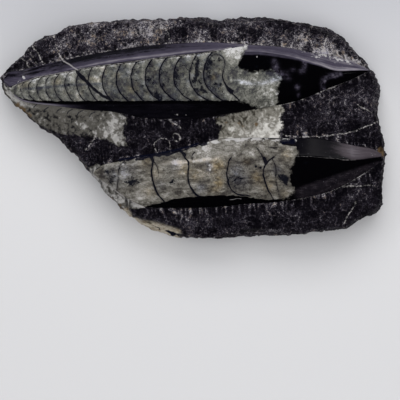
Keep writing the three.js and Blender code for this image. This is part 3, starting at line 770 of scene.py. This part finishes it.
class Slab:
    """The CAD rock as numbers: how far out its side is at each level, and how high its face is."""

    def __init__(self):
        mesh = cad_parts["matrix"].data
        self.tree = BVHTree.FromPolygons(
            [v.co / MM for v in mesh.vertices], [p.vertices[:] for p in mesh.polygons]
        )
        self.find_side()
        self.find_face()

    def find_side(self):
        """Casts rays out to a guide loop round the side, then in to it at each level."""
        turns = np.linspace(0, 2 * math.pi, GUIDE_RAYS, endpoint=False)
        middle = Vector((*SLAB_MIDDLE, GUIDE_LEVEL))
        hits = [self.tree.ray_cast(middle, Vector((math.cos(a), math.sin(a), 0)))[0] for a in turns]
        self.guide = even_loop(np.array(hits)[:, :2], SIDE_STEP)
        along = soften(np.roll(self.guide, -3, 0) - np.roll(self.guide, 3, 0), 6)
        self.out = np.c_[along[:, 1], -along[:, 0]] / np.hypot(*along.T)[:, None]
        self.offsets = []
        for z in SIDE_LEVELS:
            found = []
            for place, way in zip(self.guide, self.out):
                start = Vector((*(place + CAST_FROM * way), z))
                distance = self.tree.ray_cast(start, Vector((-way[0], -way[1], 0)))[3]
                found.append(CAST_FROM - distance)
            self.offsets.append(soften(np.array(found), 2))
        self.offsets = np.array(self.offsets)

    def side_at(self, z):
        """Plan places of the side at one height for each guide point."""
        z = np.broadcast_to(z, len(self.guide))
        level = np.interp(z, SIDE_LEVELS, range(len(SIDE_LEVELS)))
        low = np.minimum(level.astype(int), len(SIDE_LEVELS) - 2)
        t = level - low
        column = np.arange(len(self.guide))
        offset = (1 - t) * self.offsets[low, column] + t * self.offsets[low + 1, column]
        offset -= RIM_LEAN * np.maximum(z - SIDE_LEVELS[-1], 0)
        return self.guide + offset[:, None] * self.out

    def find_face(self):
        """Casts rays down on a grid of whole millimetres and fills the shells' places from round them."""
        low, high = (np.array(corner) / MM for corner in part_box("matrix"))
        self.corner = np.floor(low[:2]) - FACE_MARGIN
        size = (np.ceil(high[:2]) + FACE_MARGIN - self.corner).astype(int)
        grid = np.full(size, np.nan)
        for i in range(size[0]):
            for j in range(size[1]):
                x, y = self.corner + (i, j)
                if min(beyond(shell, x, y) for shell in SHELL_EDGES) < FACE_CLEAR:
                    continue
                hit = self.tree.ray_cast(Vector((x, y, CAST_HEIGHT)), Vector((0, 0, -1)))[0]
                if hit is not None and hit[2] > SIDE_LEVELS[-1]:
                    grid[i, j] = hit[2]
        while np.isnan(grid).any():
            known = ~np.isnan(grid)
            filled = np.where(known, grid, 0)
            total = np.zeros_like(grid)
            count = np.zeros_like(grid)
            for shift in ((1, 0), (-1, 0), (0, 1), (0, -1)):
                total += np.roll(filled, shift, (0, 1))
                count += np.roll(known, shift, (0, 1))
            grid = np.where(known, grid, np.where(count > 0, total / np.maximum(count, 1), np.nan))
        self.grid = grid

    def face_at(self, plan):
        """Height of the CAD rock's face at plan places, carried on smoothly under the shells."""
        place = np.clip(plan - self.corner, 0, np.array(self.grid.shape) - 1.001)
        i, j = place.astype(int).T
        u, v = (place - place.astype(int)).T
        g = self.grid
        return ((1 - u) * (1 - v) * g[i, j] + u * (1 - v) * g[i + 1, j]
                + (1 - u) * v * g[i, j + 1] + u * v * g[i + 1, j + 1])


def shell_edges(node):
    """Where a shell meets the rock: its sides and keel at even steps of x, and the foot's height."""
    stations = along_shell(shell_sections(node), SIDE_STEP)
    return {
        "x": stations[:, 0, 0],
        "near": stations[:, NEAR_FOOT, 1],
        "far": stations[:, FAR_FOOT, 1],
        "foot": stations[0, 0, 2],
        "keel": stations[:, KEEL, 2],
    }


def beyond(edges, x, y):
    """How far a place lies outside a shell's foot, negative inside it."""
    held = np.clip(x, edges["x"][0], edges["x"][-1])
    near = np.interp(held, edges["x"], edges["near"])
    far = np.interp(held, edges["x"], edges["far"])
    across = np.maximum(y - far, near - y)
    return np.where(held == x, across, np.hypot(x - held, np.maximum(across, 0)))


SHELL_EDGES = [shell_edges(node) for node in SHELL_NODES]


def off_shells(plan):
    """How far each place lies outside the nearer shell's foot."""
    return np.minimum(*[beyond(edges, *plan.T) for edges in SHELL_EDGES])


def tool_relief(plan, outside):
    """Chiselled relief in millimetres and how ridge-like each place is. Pits lie in rows along the shells."""
    x, y = plan.T
    swirl = 0.5 * noise(x / 3.7, y / 3.7, 20)
    row = np.clip(1.6 - outside / 4.5, 0, 1)
    length = 3 + 3 * ramp(-y, -12, -4)
    pits = np.abs(noise((x + 0.12 * y) / 1.9 + 0.3 * swirl, y / length + swirl, 21))
    cells = np.abs(noise(x / 2.9 + swirl, y / 3.3, 22))
    small = np.abs(noise(x / 1.3, y / 1.5 + swirl, 23))
    ridge = 1 - np.clip(2.4 * (row * pits + (1 - row) * np.minimum(cells, 0.12 + small)), 0, 1)
    ridge *= 0.7 + 0.7 * row
    return 0.8 * ridge - 0.35 + noise_sum(x, y, FACE_LUMPS), ridge


def triangulate(points, counts):
    """Triangles over plan points. The first points are closed loops of these counts, with edges kept."""
    edges = []
    start = 0
    for count in counts:
        edges += [(start + k, start + (k + 1) % count) for k in range(count)]
        start += count
    result = delaunay_2d_cdt([Vector(p) for p in points], edges, [], 0, 1e-6)
    assert len(result[0]) == len(points), "the rock's loops cross"
    return np.array(result[2])


def plan_grid(low, high, step_x, step_y):
    """Plan coordinates of a grid between two corners."""
    return np.meshgrid(np.arange(low[0], high[0], step_x), np.arange(low[1], high[1], step_y))


def rock_piece():
    """The slab: its face between the rim and the shells, the broken side, the back and the pockets."""
    slab = Slab()
    rng = np.random.default_rng(7)
    rim_z = slab.face_at(slab.side_at(SIDE_LEVELS[-1]))
    rim = slab.side_at(rim_z)
    ragged = noise_sum(*rim.T, RIM_CHIPS)
    room = off_shells(rim)
    ragged = np.maximum(ragged * np.clip((room - 0.8) / 2, 0, 1), RIM_ROOM - room)
    rim = rim + ragged[:, None] * slab.out
    loops = [rim]
    pockets = []
    for edges in SHELL_EDGES:
        near = np.c_[edges["x"], edges["near"] - POCKET_GAP][1:-1]
        far = np.c_[edges["x"], edges["far"] + POCKET_GAP][1:-1]
        first = (edges["x"][0] - POCKET_GAP, edges["near"][0])
        last = (edges["x"][-1] + POCKET_GAP, edges["near"][-1])
        loops.append(np.vstack([first, near, last, far[::-1]]))
        pockets.append((near, far, edges))

    low, high = rim.min(0), rim.max(0)
    gx, gy = plan_grid(low, high, ROCK_STEP, ROCK_STEP * 0.9)
    gx[1::2] += ROCK_STEP / 2
    fill = np.c_[gx.ravel(), gy.ravel()] + rng.uniform(-0.2, 0.2, (gx.size, 2)) * ROCK_STEP
    fill = fill[off_shells(fill) > POCKET_GAP + 0.5 * ROCK_STEP]
    fill = fill[to_region(fill, rim) > 0.5 * ROCK_STEP]

    plan = np.vstack(loops + [fill])
    triangles = triangulate(plan, [len(loop) for loop in loops])
    middles = plan[triangles].mean(axis=1)
    keep = in_region(middles, rim)
    for loop in loops[1:]:
        keep &= ~in_region(middles, loop)
    faces = triangles[keep].tolist()

    outside = off_shells(plan)
    third = to_region(plan, THIRD_SHELL)
    patch = to_region(plan, WHITE_PATCH)
    x, y = plan.T
    band = ramp(-outside, -3.6, -2.4) * ramp(-x, 50, 62)
    rough_tone = 0.42 + 0.3 * fractal(x / 2.2, y / 2.6, 131, bend=0.6) + 0.16 * mosaic(x / 1.6, y / 1.8, 137)
    rough_tone += spot_sum(plan, THIRD_BRIGHT)
    olive_tone = 0.5 + 0.16 * fractal(x / 3, y / 1.6, 138) + 0.35 * ramp(-x, 88, 102)
    frost = 0.47 + 0.42 * crystals(plan, (33, -4), 141) + 0.014 * (x - 33) - 0.025 * (y - 3)
    pale_tone = np.where(patch > third, frost, rough_tone + band * (olive_tone - rough_tone))
    worn = 1 - 0.6 * np.clip(np.maximum(third, patch) / 1.5 + 0.5, 0, 1)
    relief, ridge = tool_relief(plan, outside)
    relief *= worn
    z = slab.face_at(plan) + relief * np.clip(outside / 2.5, 0.25, 1)
    foot = SHELL_EDGES[0]["foot"]
    z = np.minimum(z, foot - TOP_GAP + 0.5 * np.maximum(outside - POCKET_GAP, 0))
    z += np.exp(-outside / 0.6) * (foot - TOP_GAP - z)
    top = np.c_[plan, z]
    vertices = [top]
    ridges = [ridge]
    sampled = [plan]
    depths = [np.zeros(len(top))]
    total = len(top)

    rows = [list(range(len(rim)))]
    for k in range(1, SIDE_ROWS + 1):
        share = 1 - k / SIDE_ROWS
        level = share * z[: len(rim)]
        place = slab.side_at(level)
        depth = z[: len(rim)] - level
        u, v = (place + depth[:, None] * slab.out).T
        cells = 1 - np.clip(2.4 * np.abs(noise(u / 2.9, v / 2.9, 22)), 0, 1)
        rough = noise_sum(u, v, SIDE_CHIPS) + 0.35 * cells - 0.2
        ridges.append(cells)
        drift = ramp(depth, 1, 6)[:, None] * 4 * np.c_[noise(u / 4, v / 4, 151), noise(u / 4, v / 4, 152)]
        sampled.append(place + drift)
        depths.append(depth)
        blend = min(k / 4, 1)
        push = blend * rough * min((SIDE_ROWS - k) / 3, 1) + (1 - blend) * ragged
        place = place + push[:, None] * slab.out
        if k == SIDE_ROWS:
            place = soften(place, 5)
        vertices.append(np.c_[place, level])
        rows.append(list(range(total, total + len(rim))))
        total += len(rim)
    faces += strip_faces(rows, closed=True)

    base = vertices[-1][:, :2]
    bx, by = plan_grid(low, high, BASE_STEP, BASE_STEP)
    inner = np.c_[bx.ravel(), by.ravel()]
    inner = inner[to_region(inner, base) > BASE_STEP / 2]
    flat = np.vstack([base, inner])
    triangles = triangulate(flat, [len(base)])
    triangles = triangles[in_region(flat[triangles].mean(axis=1), base)]
    vertices.append(np.c_[inner, np.zeros(len(inner))])
    base_ids = np.array(rows[-1] + list(range(total, total + len(inner))))
    total += len(inner)
    faces += base_ids[triangles][:, ::-1].tolist()

    start = len(rim)
    for near, far, edges in pockets:
        count = len(near)
        first_id = start
        near_ids = list(range(start + 1, start + 1 + count))
        last_id = start + 1 + count
        far_ids = list(range(start + 2 + count, start + 2 + 2 * count))[::-1]
        start += 2 + 2 * count
        half = (far[:, 1] - near[:, 1]) / 2
        depth = edges["foot"] - edges["keel"][1:-1] + POCKET_GAP
        rows = [near_ids]
        for angle in np.linspace(math.pi, 0, POCKET_COLUMNS + 2)[1:-1]:
            y = near[:, 1] + half + half * math.cos(angle)
            level = np.minimum(edges["foot"] - depth * math.sin(angle), top[near_ids, 2])
            vertices.append(np.c_[near[:, 0], y, level])
            rows.append(list(range(total, total + count)))
            total += count
        rows.append(far_ids)
        faces += strip_faces(rows, closed=False)
        column = [row[0] for row in rows]
        faces += [(first_id, a, b) for a, b in zip(column[1:], column[:-1])]
        column = [row[-1] for row in rows]
        faces += [(last_id, a, b) for a, b in zip(column[:-1], column[1:])]

    vertices = np.vstack(vertices)
    everywhere = vertices[:, :2].copy()
    everywhere[: len(top) + SIDE_ROWS * len(rim)] = np.vstack(sampled)
    spread = lambda values, rest: np.append(values, np.full(total - len(values), rest))
    depth = spread(np.concatenate(depths), CORE_DEPTH)
    is_back = np.zeros(total)
    is_back[base_ids] = 1
    x, y = plan.T
    warp = plan + 0.5 * np.c_[noise(x / 3, y / 3, 41), noise(x / 3, y / 3, 42)]
    ring_level = np.full(len(plan), FAR_OFF)
    for across, up, radius, width in ROCK_RINGS:
        gap = np.abs(np.hypot(warp[:, 0] - across, warp[:, 1] - up) - radius)
        ring_level = np.maximum(ring_level, width / 2 - gap)
    rim_gap = to_line(plan, np.vstack([rim, rim[:1]]))
    by_shell = 0.3 * np.exp(-((np.minimum(outside, 9) - 3.5) / 2) ** 2)
    near_half = ramp(-everywhere[:, 1], -24, 0) * ramp(-depth, -8, 0)
    dusty = spot_sum(everywhere, ROCK_DUST) - spread(by_shell, 0) - 0.6 * near_half
    dusty += 0.05 + spread(0.5 * np.clip(1 - rim_gap / 1.6, 0, 1), 0.2)
    around, up = everywhere.T
    tone = 0.45 + 0.35 * fractal(around / 2.5, up / 2.5 + depth / 2, 154, bend=0.6)
    tone[: len(plan)] = pale_tone
    grey_rim = to_region(everywhere, GREY_RIM)
    tone += 0.3 * ramp(grey_rim, -1, 1)
    light_side = np.maximum(to_region(everywhere, THIRD_SHELL), 2 * grey_rim + 1)
    edges = SHELL_EDGES[0]
    gap = y - np.interp(x, edges["x"], edges["far"])
    far_border = np.where((x > edges["x"][0]) & (x < 60), 0.05 - np.abs(gap - 0.5), FAR_OFF)
    edges = SHELL_EDGES[1]
    gap = np.interp(x, edges["x"], edges["near"]) - y
    near_border = np.where((x > edges["x"][0]) & (x < -28), 0.5 - np.abs(gap - 0.5), FAR_OFF)
    pale = np.maximum.reduce([line_level(warp, ROCK_PALE_LINES), ring_level, far_border, near_border])
    values = {
        "relief": spread(relief, 0),
        "ridge": spread(np.concatenate(ridges), 0.3) * (1 + 1.3 * near_half),
        "dust": dusty + spread(0.4 * fractal(x / 5, y / 5, 146), 0),
        "tone": tone,
        "tan": ramp(to_region(everywhere, TAN_RIM), -1, 1),
        "brown": spot_sum(everywhere, ROCK_BROWN) * ramp(-depth, -9, -3),
        "base": is_back,
        "third": light_side - 0.9 * np.maximum(depth - 2.5, 0) - 0.1 * depth,
        "patch": spread(patch, FAR_OFF),
        "pale": spread(pale, FAR_OFF),
        # The third shell's walls, a navy line and a painted shadow along the lower-left edge, fading down the
        # side
        "ink": line_level(everywhere, THIRD_WALLS + ROCK_LINE_AND_EDGE_SHADOW) - 0.4 * np.maximum(depth - 5, 0),
    }
    return make_mesh("rock", vertices, faces, values, "matrix")


# Materials, in linear colours: tones go from dark to white, and pairs and threes from dark to light

GRIT = 1.15
LARGE_TONES = [(0.032, 0.031, 0.037), (0.098, 0.099, 0.087), (0.225, 0.222, 0.198), (0.56, 0.555, 0.55)]
SMALL_TONES = [(0.034, 0.03, 0.028), (0.112, 0.104, 0.09), (0.22, 0.21, 0.19), (0.48, 0.46, 0.45)]
# Flank greys, from dark to the painted highlight, that the painted sheen picks between
LARGE_FLANK = (0.05, 0.044, 0.067)
SMALL_FLANK = (0.056, 0.046, 0.055)
DARK_FLANK = (0.002, 0.0018, 0.0035)
FLANK_PAINTED_HIGHLIGHT = (0.26, 0.24, 0.27)
FLANK_FLECK = (0.2, 0.2, 0.23)
BLACK = (0.0009, 0.0008, 0.0013)
BLACK_HAZE = (0.006, 0.007, 0.012)
BLUE_TINT = (0.86, 0.93, 1.2)
WARM_TINT = (1.12, 0.93, 0.62)
SOOT = (0.0045, 0.005, 0.009)
HAIR_CRACK = (0.02, 0.02, 0.025)
INK = (0.003, 0.003, 0.007)
NAVY = (0.002, 0.0025, 0.009)
POWDER = (0.5, 0.49, 0.49)
PALE_LINE = (0.42, 0.4, 0.4)

LIMESTONE = [(0.0012, 0.001, 0.0022), (0.004, 0.0034, 0.0056)]
LIMESTONE_GRAIN = (0.027, 0.0235, 0.028)
CRUSHED = (0.05, 0.044, 0.06)
BLUISH_FLECK = (0.36, 0.345, 0.4)
GREY_FLECK = (0.39, 0.37, 0.375)
BROWN_FLECK = (0.27, 0.215, 0.165)
TAN = [(0.27, 0.22, 0.155), (0.56, 0.51, 0.42)]
CHALK = [(0.01, 0.0095, 0.011), (0.095, 0.09, 0.08), (0.42, 0.41, 0.4)]
FROST = [(0.03, 0.027, 0.02), (0.2, 0.19, 0.165), (0.6, 0.585, 0.555)]
BROWN_STAIN = (0.11, 0.072, 0.036)
ROCK_VEIN = (0.4, 0.38, 0.375)
PAINTED_PIT_SHADE = (0.0015, 0.0013, 0.0025)
ROCK_INK_AND_SHADOW = (0.003, 0.0038, 0.011)
SAWN = [(0.02, 0.018, 0.02), (0.032, 0.03, 0.03)]


class Number:
    """A shader's number or colour, which can be added, taken away and multiplied."""

    def __init__(self, shader, socket):
        self.shader = shader
        self.socket = socket

    def __add__(self, other):
        return self.shader.math("ADD", self, other)

    def __sub__(self, other):
        return self.shader.math("SUBTRACT", self, other)

    def __mul__(self, other):
        return self.shader.math("MULTIPLY", self, other)

    __radd__ = __add__
    __rmul__ = __mul__


class Shader:
    """One node-based material. Its methods add nodes and return the number or colour that they make."""

    def __init__(self, name):
        self.material = bpy.data.materials.new(name)
        self.material.use_nodes = True
        self.tree = self.material.node_tree
        self.bsdf = self.tree.nodes["Principled BSDF"]
        metres = self.node("TexCoord", "Object", {})
        self.place = self.node("VectorMath", 0, {0: metres, "Scale": 1 / MM}, operation="SCALE")

    def put(self, values, sockets):
        """Links numbers made by nodes and sets plain ones. A colour of three gets its alpha."""
        for key, value in values.items():
            if isinstance(value, Number):
                self.tree.links.new(value.socket, sockets[key])
            else:
                colour = sockets[key].type == "RGBA"
                sockets[key].default_value = (*value, 1) if colour else value

    def node(self, kind, output, inputs, **settings):
        node = self.tree.nodes.new("ShaderNode" + kind)
        for key, value in settings.items():
            setattr(node, key, value)
        self.put(inputs, node.inputs)
        return Number(self, node.outputs[output])

    def math(self, operation, a, b=0.0):
        return self.node("Math", 0, {0: a, 1: b}, operation=operation)

    def value(self, name):
        return self.node("Attribute", "Fac", {}, attribute_name=name)

    def noise(self, size, detail=4, rough=0.55, stretch=(1, 1, 1), bend=0.0):
        """Cloudy noise from 0 to 1 whose features are about this many millimetres across."""
        place = self.node("VectorMath", 0, {0: self.place, 1: stretch}, operation="MULTIPLY")
        return self.node("TexNoise", "Fac", {
            "Vector": place, "Scale": 1 / size, "Detail": detail, "Roughness": rough, "Distortion": bend,
        })

    def grain(self, *details, **more):
        """The same noise from -0.5 to 0.5."""
        return self.noise(*details, **more) - 0.5

    def band(self, value, low, high):
        """0 below low, 1 above high, smooth between. With low above high it falls instead."""
        inputs = {"Value": value, "From Min": low, "From Max": high}
        return self.node("MapRange", "Result", inputs, interpolation_type="SMOOTHSTEP")

    def mix(self, factor, a, b, blend="MIX"):
        inputs = {"Factor": factor, "A": a, "B": b}
        return self.node("Mix", "Result", inputs, data_type="RGBA", blend_type=blend)

    def layers(self, colour, covers):
        """Paints colours over one another, each (cover, strength, colour)."""
        for cover, strength, paint in covers:
            colour = self.mix(strength * cover, colour, paint)
        return colour

    def bump(self, height, strength, distance):
        inputs = {"Height": height, "Strength": strength, "Distance": distance * MM}
        return self.node("Bump", "Normal", inputs)

    def finish(self, **values):
        """Sets the shader's own sockets, named with _ for a space."""
        self.put({key.replace("_", " "): value for key, value in values.items()}, self.bsdf.inputs)
        return self.material


def polished_material(name, tones, flank):
    """Polished calcite chambers in black limestone, with inked walls, feathery mottles and veins, and flank
    greys with painted sheen and painted reflection.
    """
    s = Shader(name)
    dark, middle, light, white = tones
    jitter = s.grain(1.4, 5)
    grain = s.grain(1.2, 7, 0.8)
    feather = s.grain(3, 8, 0.72, bend=0.4)
    grit = grain + 0.6 * s.grain(0.6, 4, 0.7)
    streaks = s.noise(0.9, 4, 0.65, stretch=(0.1, 1.5, 1.5))
    border = s.band(s.value("calcite") + 1.5 * jitter, -0.12, 0.12)
    ragged = s.band(s.value("calcite") + 9 * feather, -1.1, 0.7)
    calcite = s.mix(s.value("frayed"), border, ragged)
    ink = s.band(s.value("ink") + 0.6 * jitter, -0.1, 0.12)
    by_ink = s.band(s.value("ink"), -1.2, 0)
    soot = s.band(s.value("dark") + 1.9 * grit + 0.6 * feather, 0.22, 0.62)
    wrinkle = s.math("ABSOLUTE", s.grain(4.5, 5, 0.6, bend=0.3))
    crack = s.band(wrinkle, 0.012, 0.002) * s.band(s.noise(7, 3), 0.45, 0.6)
    tone = s.value("tone") + GRIT * grit
    fill = s.mix(s.band(tone, 0.05, 0.42), dark, middle)
    fill = s.mix(s.band(tone, 0.38, 0.72), fill, light)
    fill = s.mix(s.band(tone, 0.68, 1.05), fill, white)
    fill = s.mix(s.value("blue"), fill, BLUE_TINT, "MULTIPLY")
    fill = s.mix(s.value("warm"), fill, WARM_TINT, "MULTIPLY")
    stains = [(by_ink, 0.4, dark), (soot, 0.98, SOOT), (crack, 0.5, HAIR_CRACK), (ink, 0.96, INK)]
    fill = s.layers(fill, stains)
    haze = s.band(s.noise(5, 6, 0.6, stretch=(0.6, 1.3, 1), bend=1.8), 0.66, 0.85)
    black = s.mix(haze, BLACK, BLACK_HAZE)
    # The flanks' greys: painted sheen from dark to light, a painted highlight on the crests, and pale specks
    sheen = s.value("sheen") + 0.3 * (streaks - 0.5)
    grey_and_sheen = s.mix(s.band(sheen, 0, 0.45), DARK_FLANK, flank)
    grey_and_sheen = s.mix(s.band(sheen, 0.4, 1), grey_and_sheen, FLANK_PAINTED_HIGHLIGHT)
    grey_and_sheen = s.mix(s.band(s.noise(0.8, 3), 0.69, 0.76), grey_and_sheen, FLANK_FLECK)
    colour = s.mix(calcite, s.mix(s.value("grey_and_sheen"), black, grey_and_sheen), fill)
    powder = s.band(s.value("powder") + grain, 0.35, 0.75)
    # Pale lines: veins and streaks, and painted highlights along the crests
    pale = s.band(s.value("pale") + 0.4 * jitter, -0.15, 0.15)
    navy = s.band(s.value("navy") + 1.2 * jitter, -0.15, 0.25)
    colour = s.layers(colour, [(powder, 0.75, POWDER), (pale, 0.55, PALE_LINE), (navy, 0.95, NAVY)])
    return s.finish(Base_Color=colour, Roughness=0.12 * streaks + 0.1, Normal=s.bump(streaks, 0.1, 0.04))


def rock_material():
    """Chiselled dark limestone with light crushed ridges, calcite patches, white veins and a sawn back, with
    painted shade in the pits and a painted shadow along the lower-left edge.
    """
    s = Shader("rough dark limestone")
    jitter = s.grain(1.7, 6, 0.65)
    grain = s.noise(1, 7, 0.8)
    hue = s.noise(3.2, 4, 0.6)
    relief = s.value("relief")
    crushed = s.noise(1.6, 8, 0.8) + 0.9 * s.grain(0.55, 3, 0.7)
    crushed += 0.07 * s.value("ridge") + 0.16 * s.value("dust") + 0.05 * relief
    fleck = s.mix(s.band(hue, 0.36, 0.46), BLUISH_FLECK, GREY_FLECK)
    fleck = s.mix(s.band(hue, 0.54, 0.64), fleck, BROWN_FLECK)
    tan = s.mix(s.band(s.noise(2.5, 6, 0.65), 0.35, 0.6), *TAN)
    vein = s.band(s.value("pale") + 2.4 * jitter + 2.4 * s.grain(0.9, 4, 0.7), -0.1, 0.2)
    third = s.band(s.value("third") + 6 * jitter, -0.4, 0.8)
    patch = s.band(s.value("patch") + 6 * jitter, -0.5, 0.6)
    brown = s.band(s.value("brown") + 1.6 * jitter, 0.35, 0.8)
    cloud = s.value("tone") + 0.8 * s.grain(0.9, 7, 0.8)
    chalk = s.mix(s.band(cloud, 0.5, 0.95), s.mix(s.band(cloud, 0.15, 0.45), *CHALK[:2]), CHALK[2])
    frost = s.mix(s.band(cloud, 0.4, 0.95), s.mix(s.band(cloud, 0, 0.45), *FROST[:2]), FROST[2])
    sawn = s.mix(s.band(s.noise(9, 5, 0.6, stretch=(0.08, 1, 1)), 0.4, 0.6), *SAWN)
    colour = s.mix(s.band(s.noise(14, 5, 0.6), 0.35, 0.65), *LIMESTONE)
    colour = s.layers(colour, [
        (s.band(grain, 0.5, 0.64), 1, LIMESTONE_GRAIN),
        (s.band(crushed, 0.5, 0.66), 0.8, CRUSHED),
        (s.band(crushed, 0.65, 0.8), 0.95, fleck),
        (s.value("tan") * s.band(grain, 0.36, 0.48), 1, tan),
        (third, 0.93, chalk),
        (patch, 1, frost),
        (brown, 0.85, BROWN_STAIN),
        (vein, 0.8, ROCK_VEIN),
        # Painted shade in the low places of the relief
        (s.band(relief, -0.1, -0.7), 0.7, PAINTED_PIT_SHADE),
        # Dark lines, and a painted shadow along the lower-left edge
        (s.band(s.value("ink"), -0.2, 0.15), 1, ROCK_INK_AND_SHADOW),
        (s.value("base"), 1, sawn),
    ])
    height = s.noise(0.7, 5, 0.7) + 0.8 * s.noise(2.2, 4, stretch=(1.5, 0.6, 1))
    return s.finish(
        Base_Color=colour, Roughness=0.7, Specular_IOR_Level=0.05, Normal=s.bump(height, 1, 0.6),
    )


# Stage, in metres, with the floor's painted shade from near to far in millimetres along Y. A light is its
# name, place, aim, size, power in watts, colour and whether the polished stone mirrors it.

FLOOR_REACH = 2
FLOOR_SHADE_SPAN = (-10, 90)
FLOOR_NEAR = (0.65, 0.65, 0.665)
FLOOR_FAR_SHADE = (0.49, 0.495, 0.525)
ROOM = (0.06, 0.06, 0.063, 1)
LIGHTS = [
    ("overhead box", (0.2, -0.05, 1.5), (0.02, -0.03, 0), (2.2, 1.8), 18, (1, 1, 1), False),
    ("top box", (0.1, 1.1, 1.0), (0, 0, 0), (1.6, 0.8), 14, (1, 1, 1), False),
    ("fill box", (0.4, -1.1, 0.9), (0.02, -0.03, 0), (1.4, 0.7), 5, (1, 1, 1), False),
    ("side box", (-1.3, 0.1, 0.9), (0, 0, 0), (0.7, 0.7), 5, (1, 1, 1), False),
    ("far box", (0.35, 1.5, 0.28), (0, 0, 0.02), (2.2, 0.5), 0.35, (0.88, 0.9, 1), True),
    ("crest strip", (0, 1.1, 0.75), (0, 0, 0.02), (2.4, 0.1), 0.5, (1, 0.97, 0.96), True),
]


def floor():
    mesh = bpy.data.meshes.new("floor")
    r = FLOOR_REACH
    mesh.from_pydata([(-r, -r, 0), (r, -r, 0), (r, r, 0), (-r, r, 0)], [], [(0, 1, 2, 3)])
    piece = add_object("floor", mesh)
    s = Shader("pale floor")
    up = s.node("SeparateXYZ", "Y", {0: s.place})
    # Painted shade: the floor darkens from near to far
    shade = s.mix(s.band(up, *FLOOR_SHADE_SPAN), FLOOR_NEAR, FLOOR_FAR_SHADE)
    mesh.materials.append(s.finish(Base_Color=shade, Roughness=0.7, Specular_IOR_Level=0.2))


def area_light(name, place, aim, size, power, colour, mirrored):
    light = bpy.data.lights.new(name, "AREA")
    light.shape = "RECTANGLE"
    light.size, light.size_y = size
    light.energy = power
    light.color = colour
    lamp = add_object(name, light)
    lamp.location = place
    lamp.rotation_euler = (Vector(aim) - Vector(place)).to_track_quat("-Z", "Y").to_euler()
    lamp.visible_glossy = mirrored


def studio():
    world = bpy.data.worlds.new("dim room")
    world.use_nodes = True
    world.node_tree.nodes["Background"].inputs["Color"].default_value = ROOM
    world.cycles_visibility.glossy = False
    bpy.context.scene.world = world
    for light in LIGHTS:
        area_light(*light)


def camera():
    data = bpy.data.cameras.new("camera")
    data.sensor_width = SENSOR
    data.lens = SENSOR * (VIEW_HEIGHT - VIEW_PLANE) / VIEW_WIDTH
    data.clip_end = 10
    view = add_object("camera", data)
    view.location = (VIEW_CENTRE[0] * MM, VIEW_CENTRE[1] * MM, VIEW_HEIGHT * MM)
    bpy.context.scene.camera = view


rock = rock_piece()
rock.data.materials.append(rock_material())
large = shell_piece("large_orthoceras", "large_shell", large_marks)
large.data.materials.append(polished_material("large shell polish", LARGE_TONES, LARGE_FLANK))
small = shell_piece("small_orthoceras", "small_shell", small_marks)
small.data.materials.append(polished_material("small shell polish", SMALL_TONES, SMALL_FLANK))
floor()
studio()
camera()
bpy.context.scene.view_settings.view_transform = "Standard"
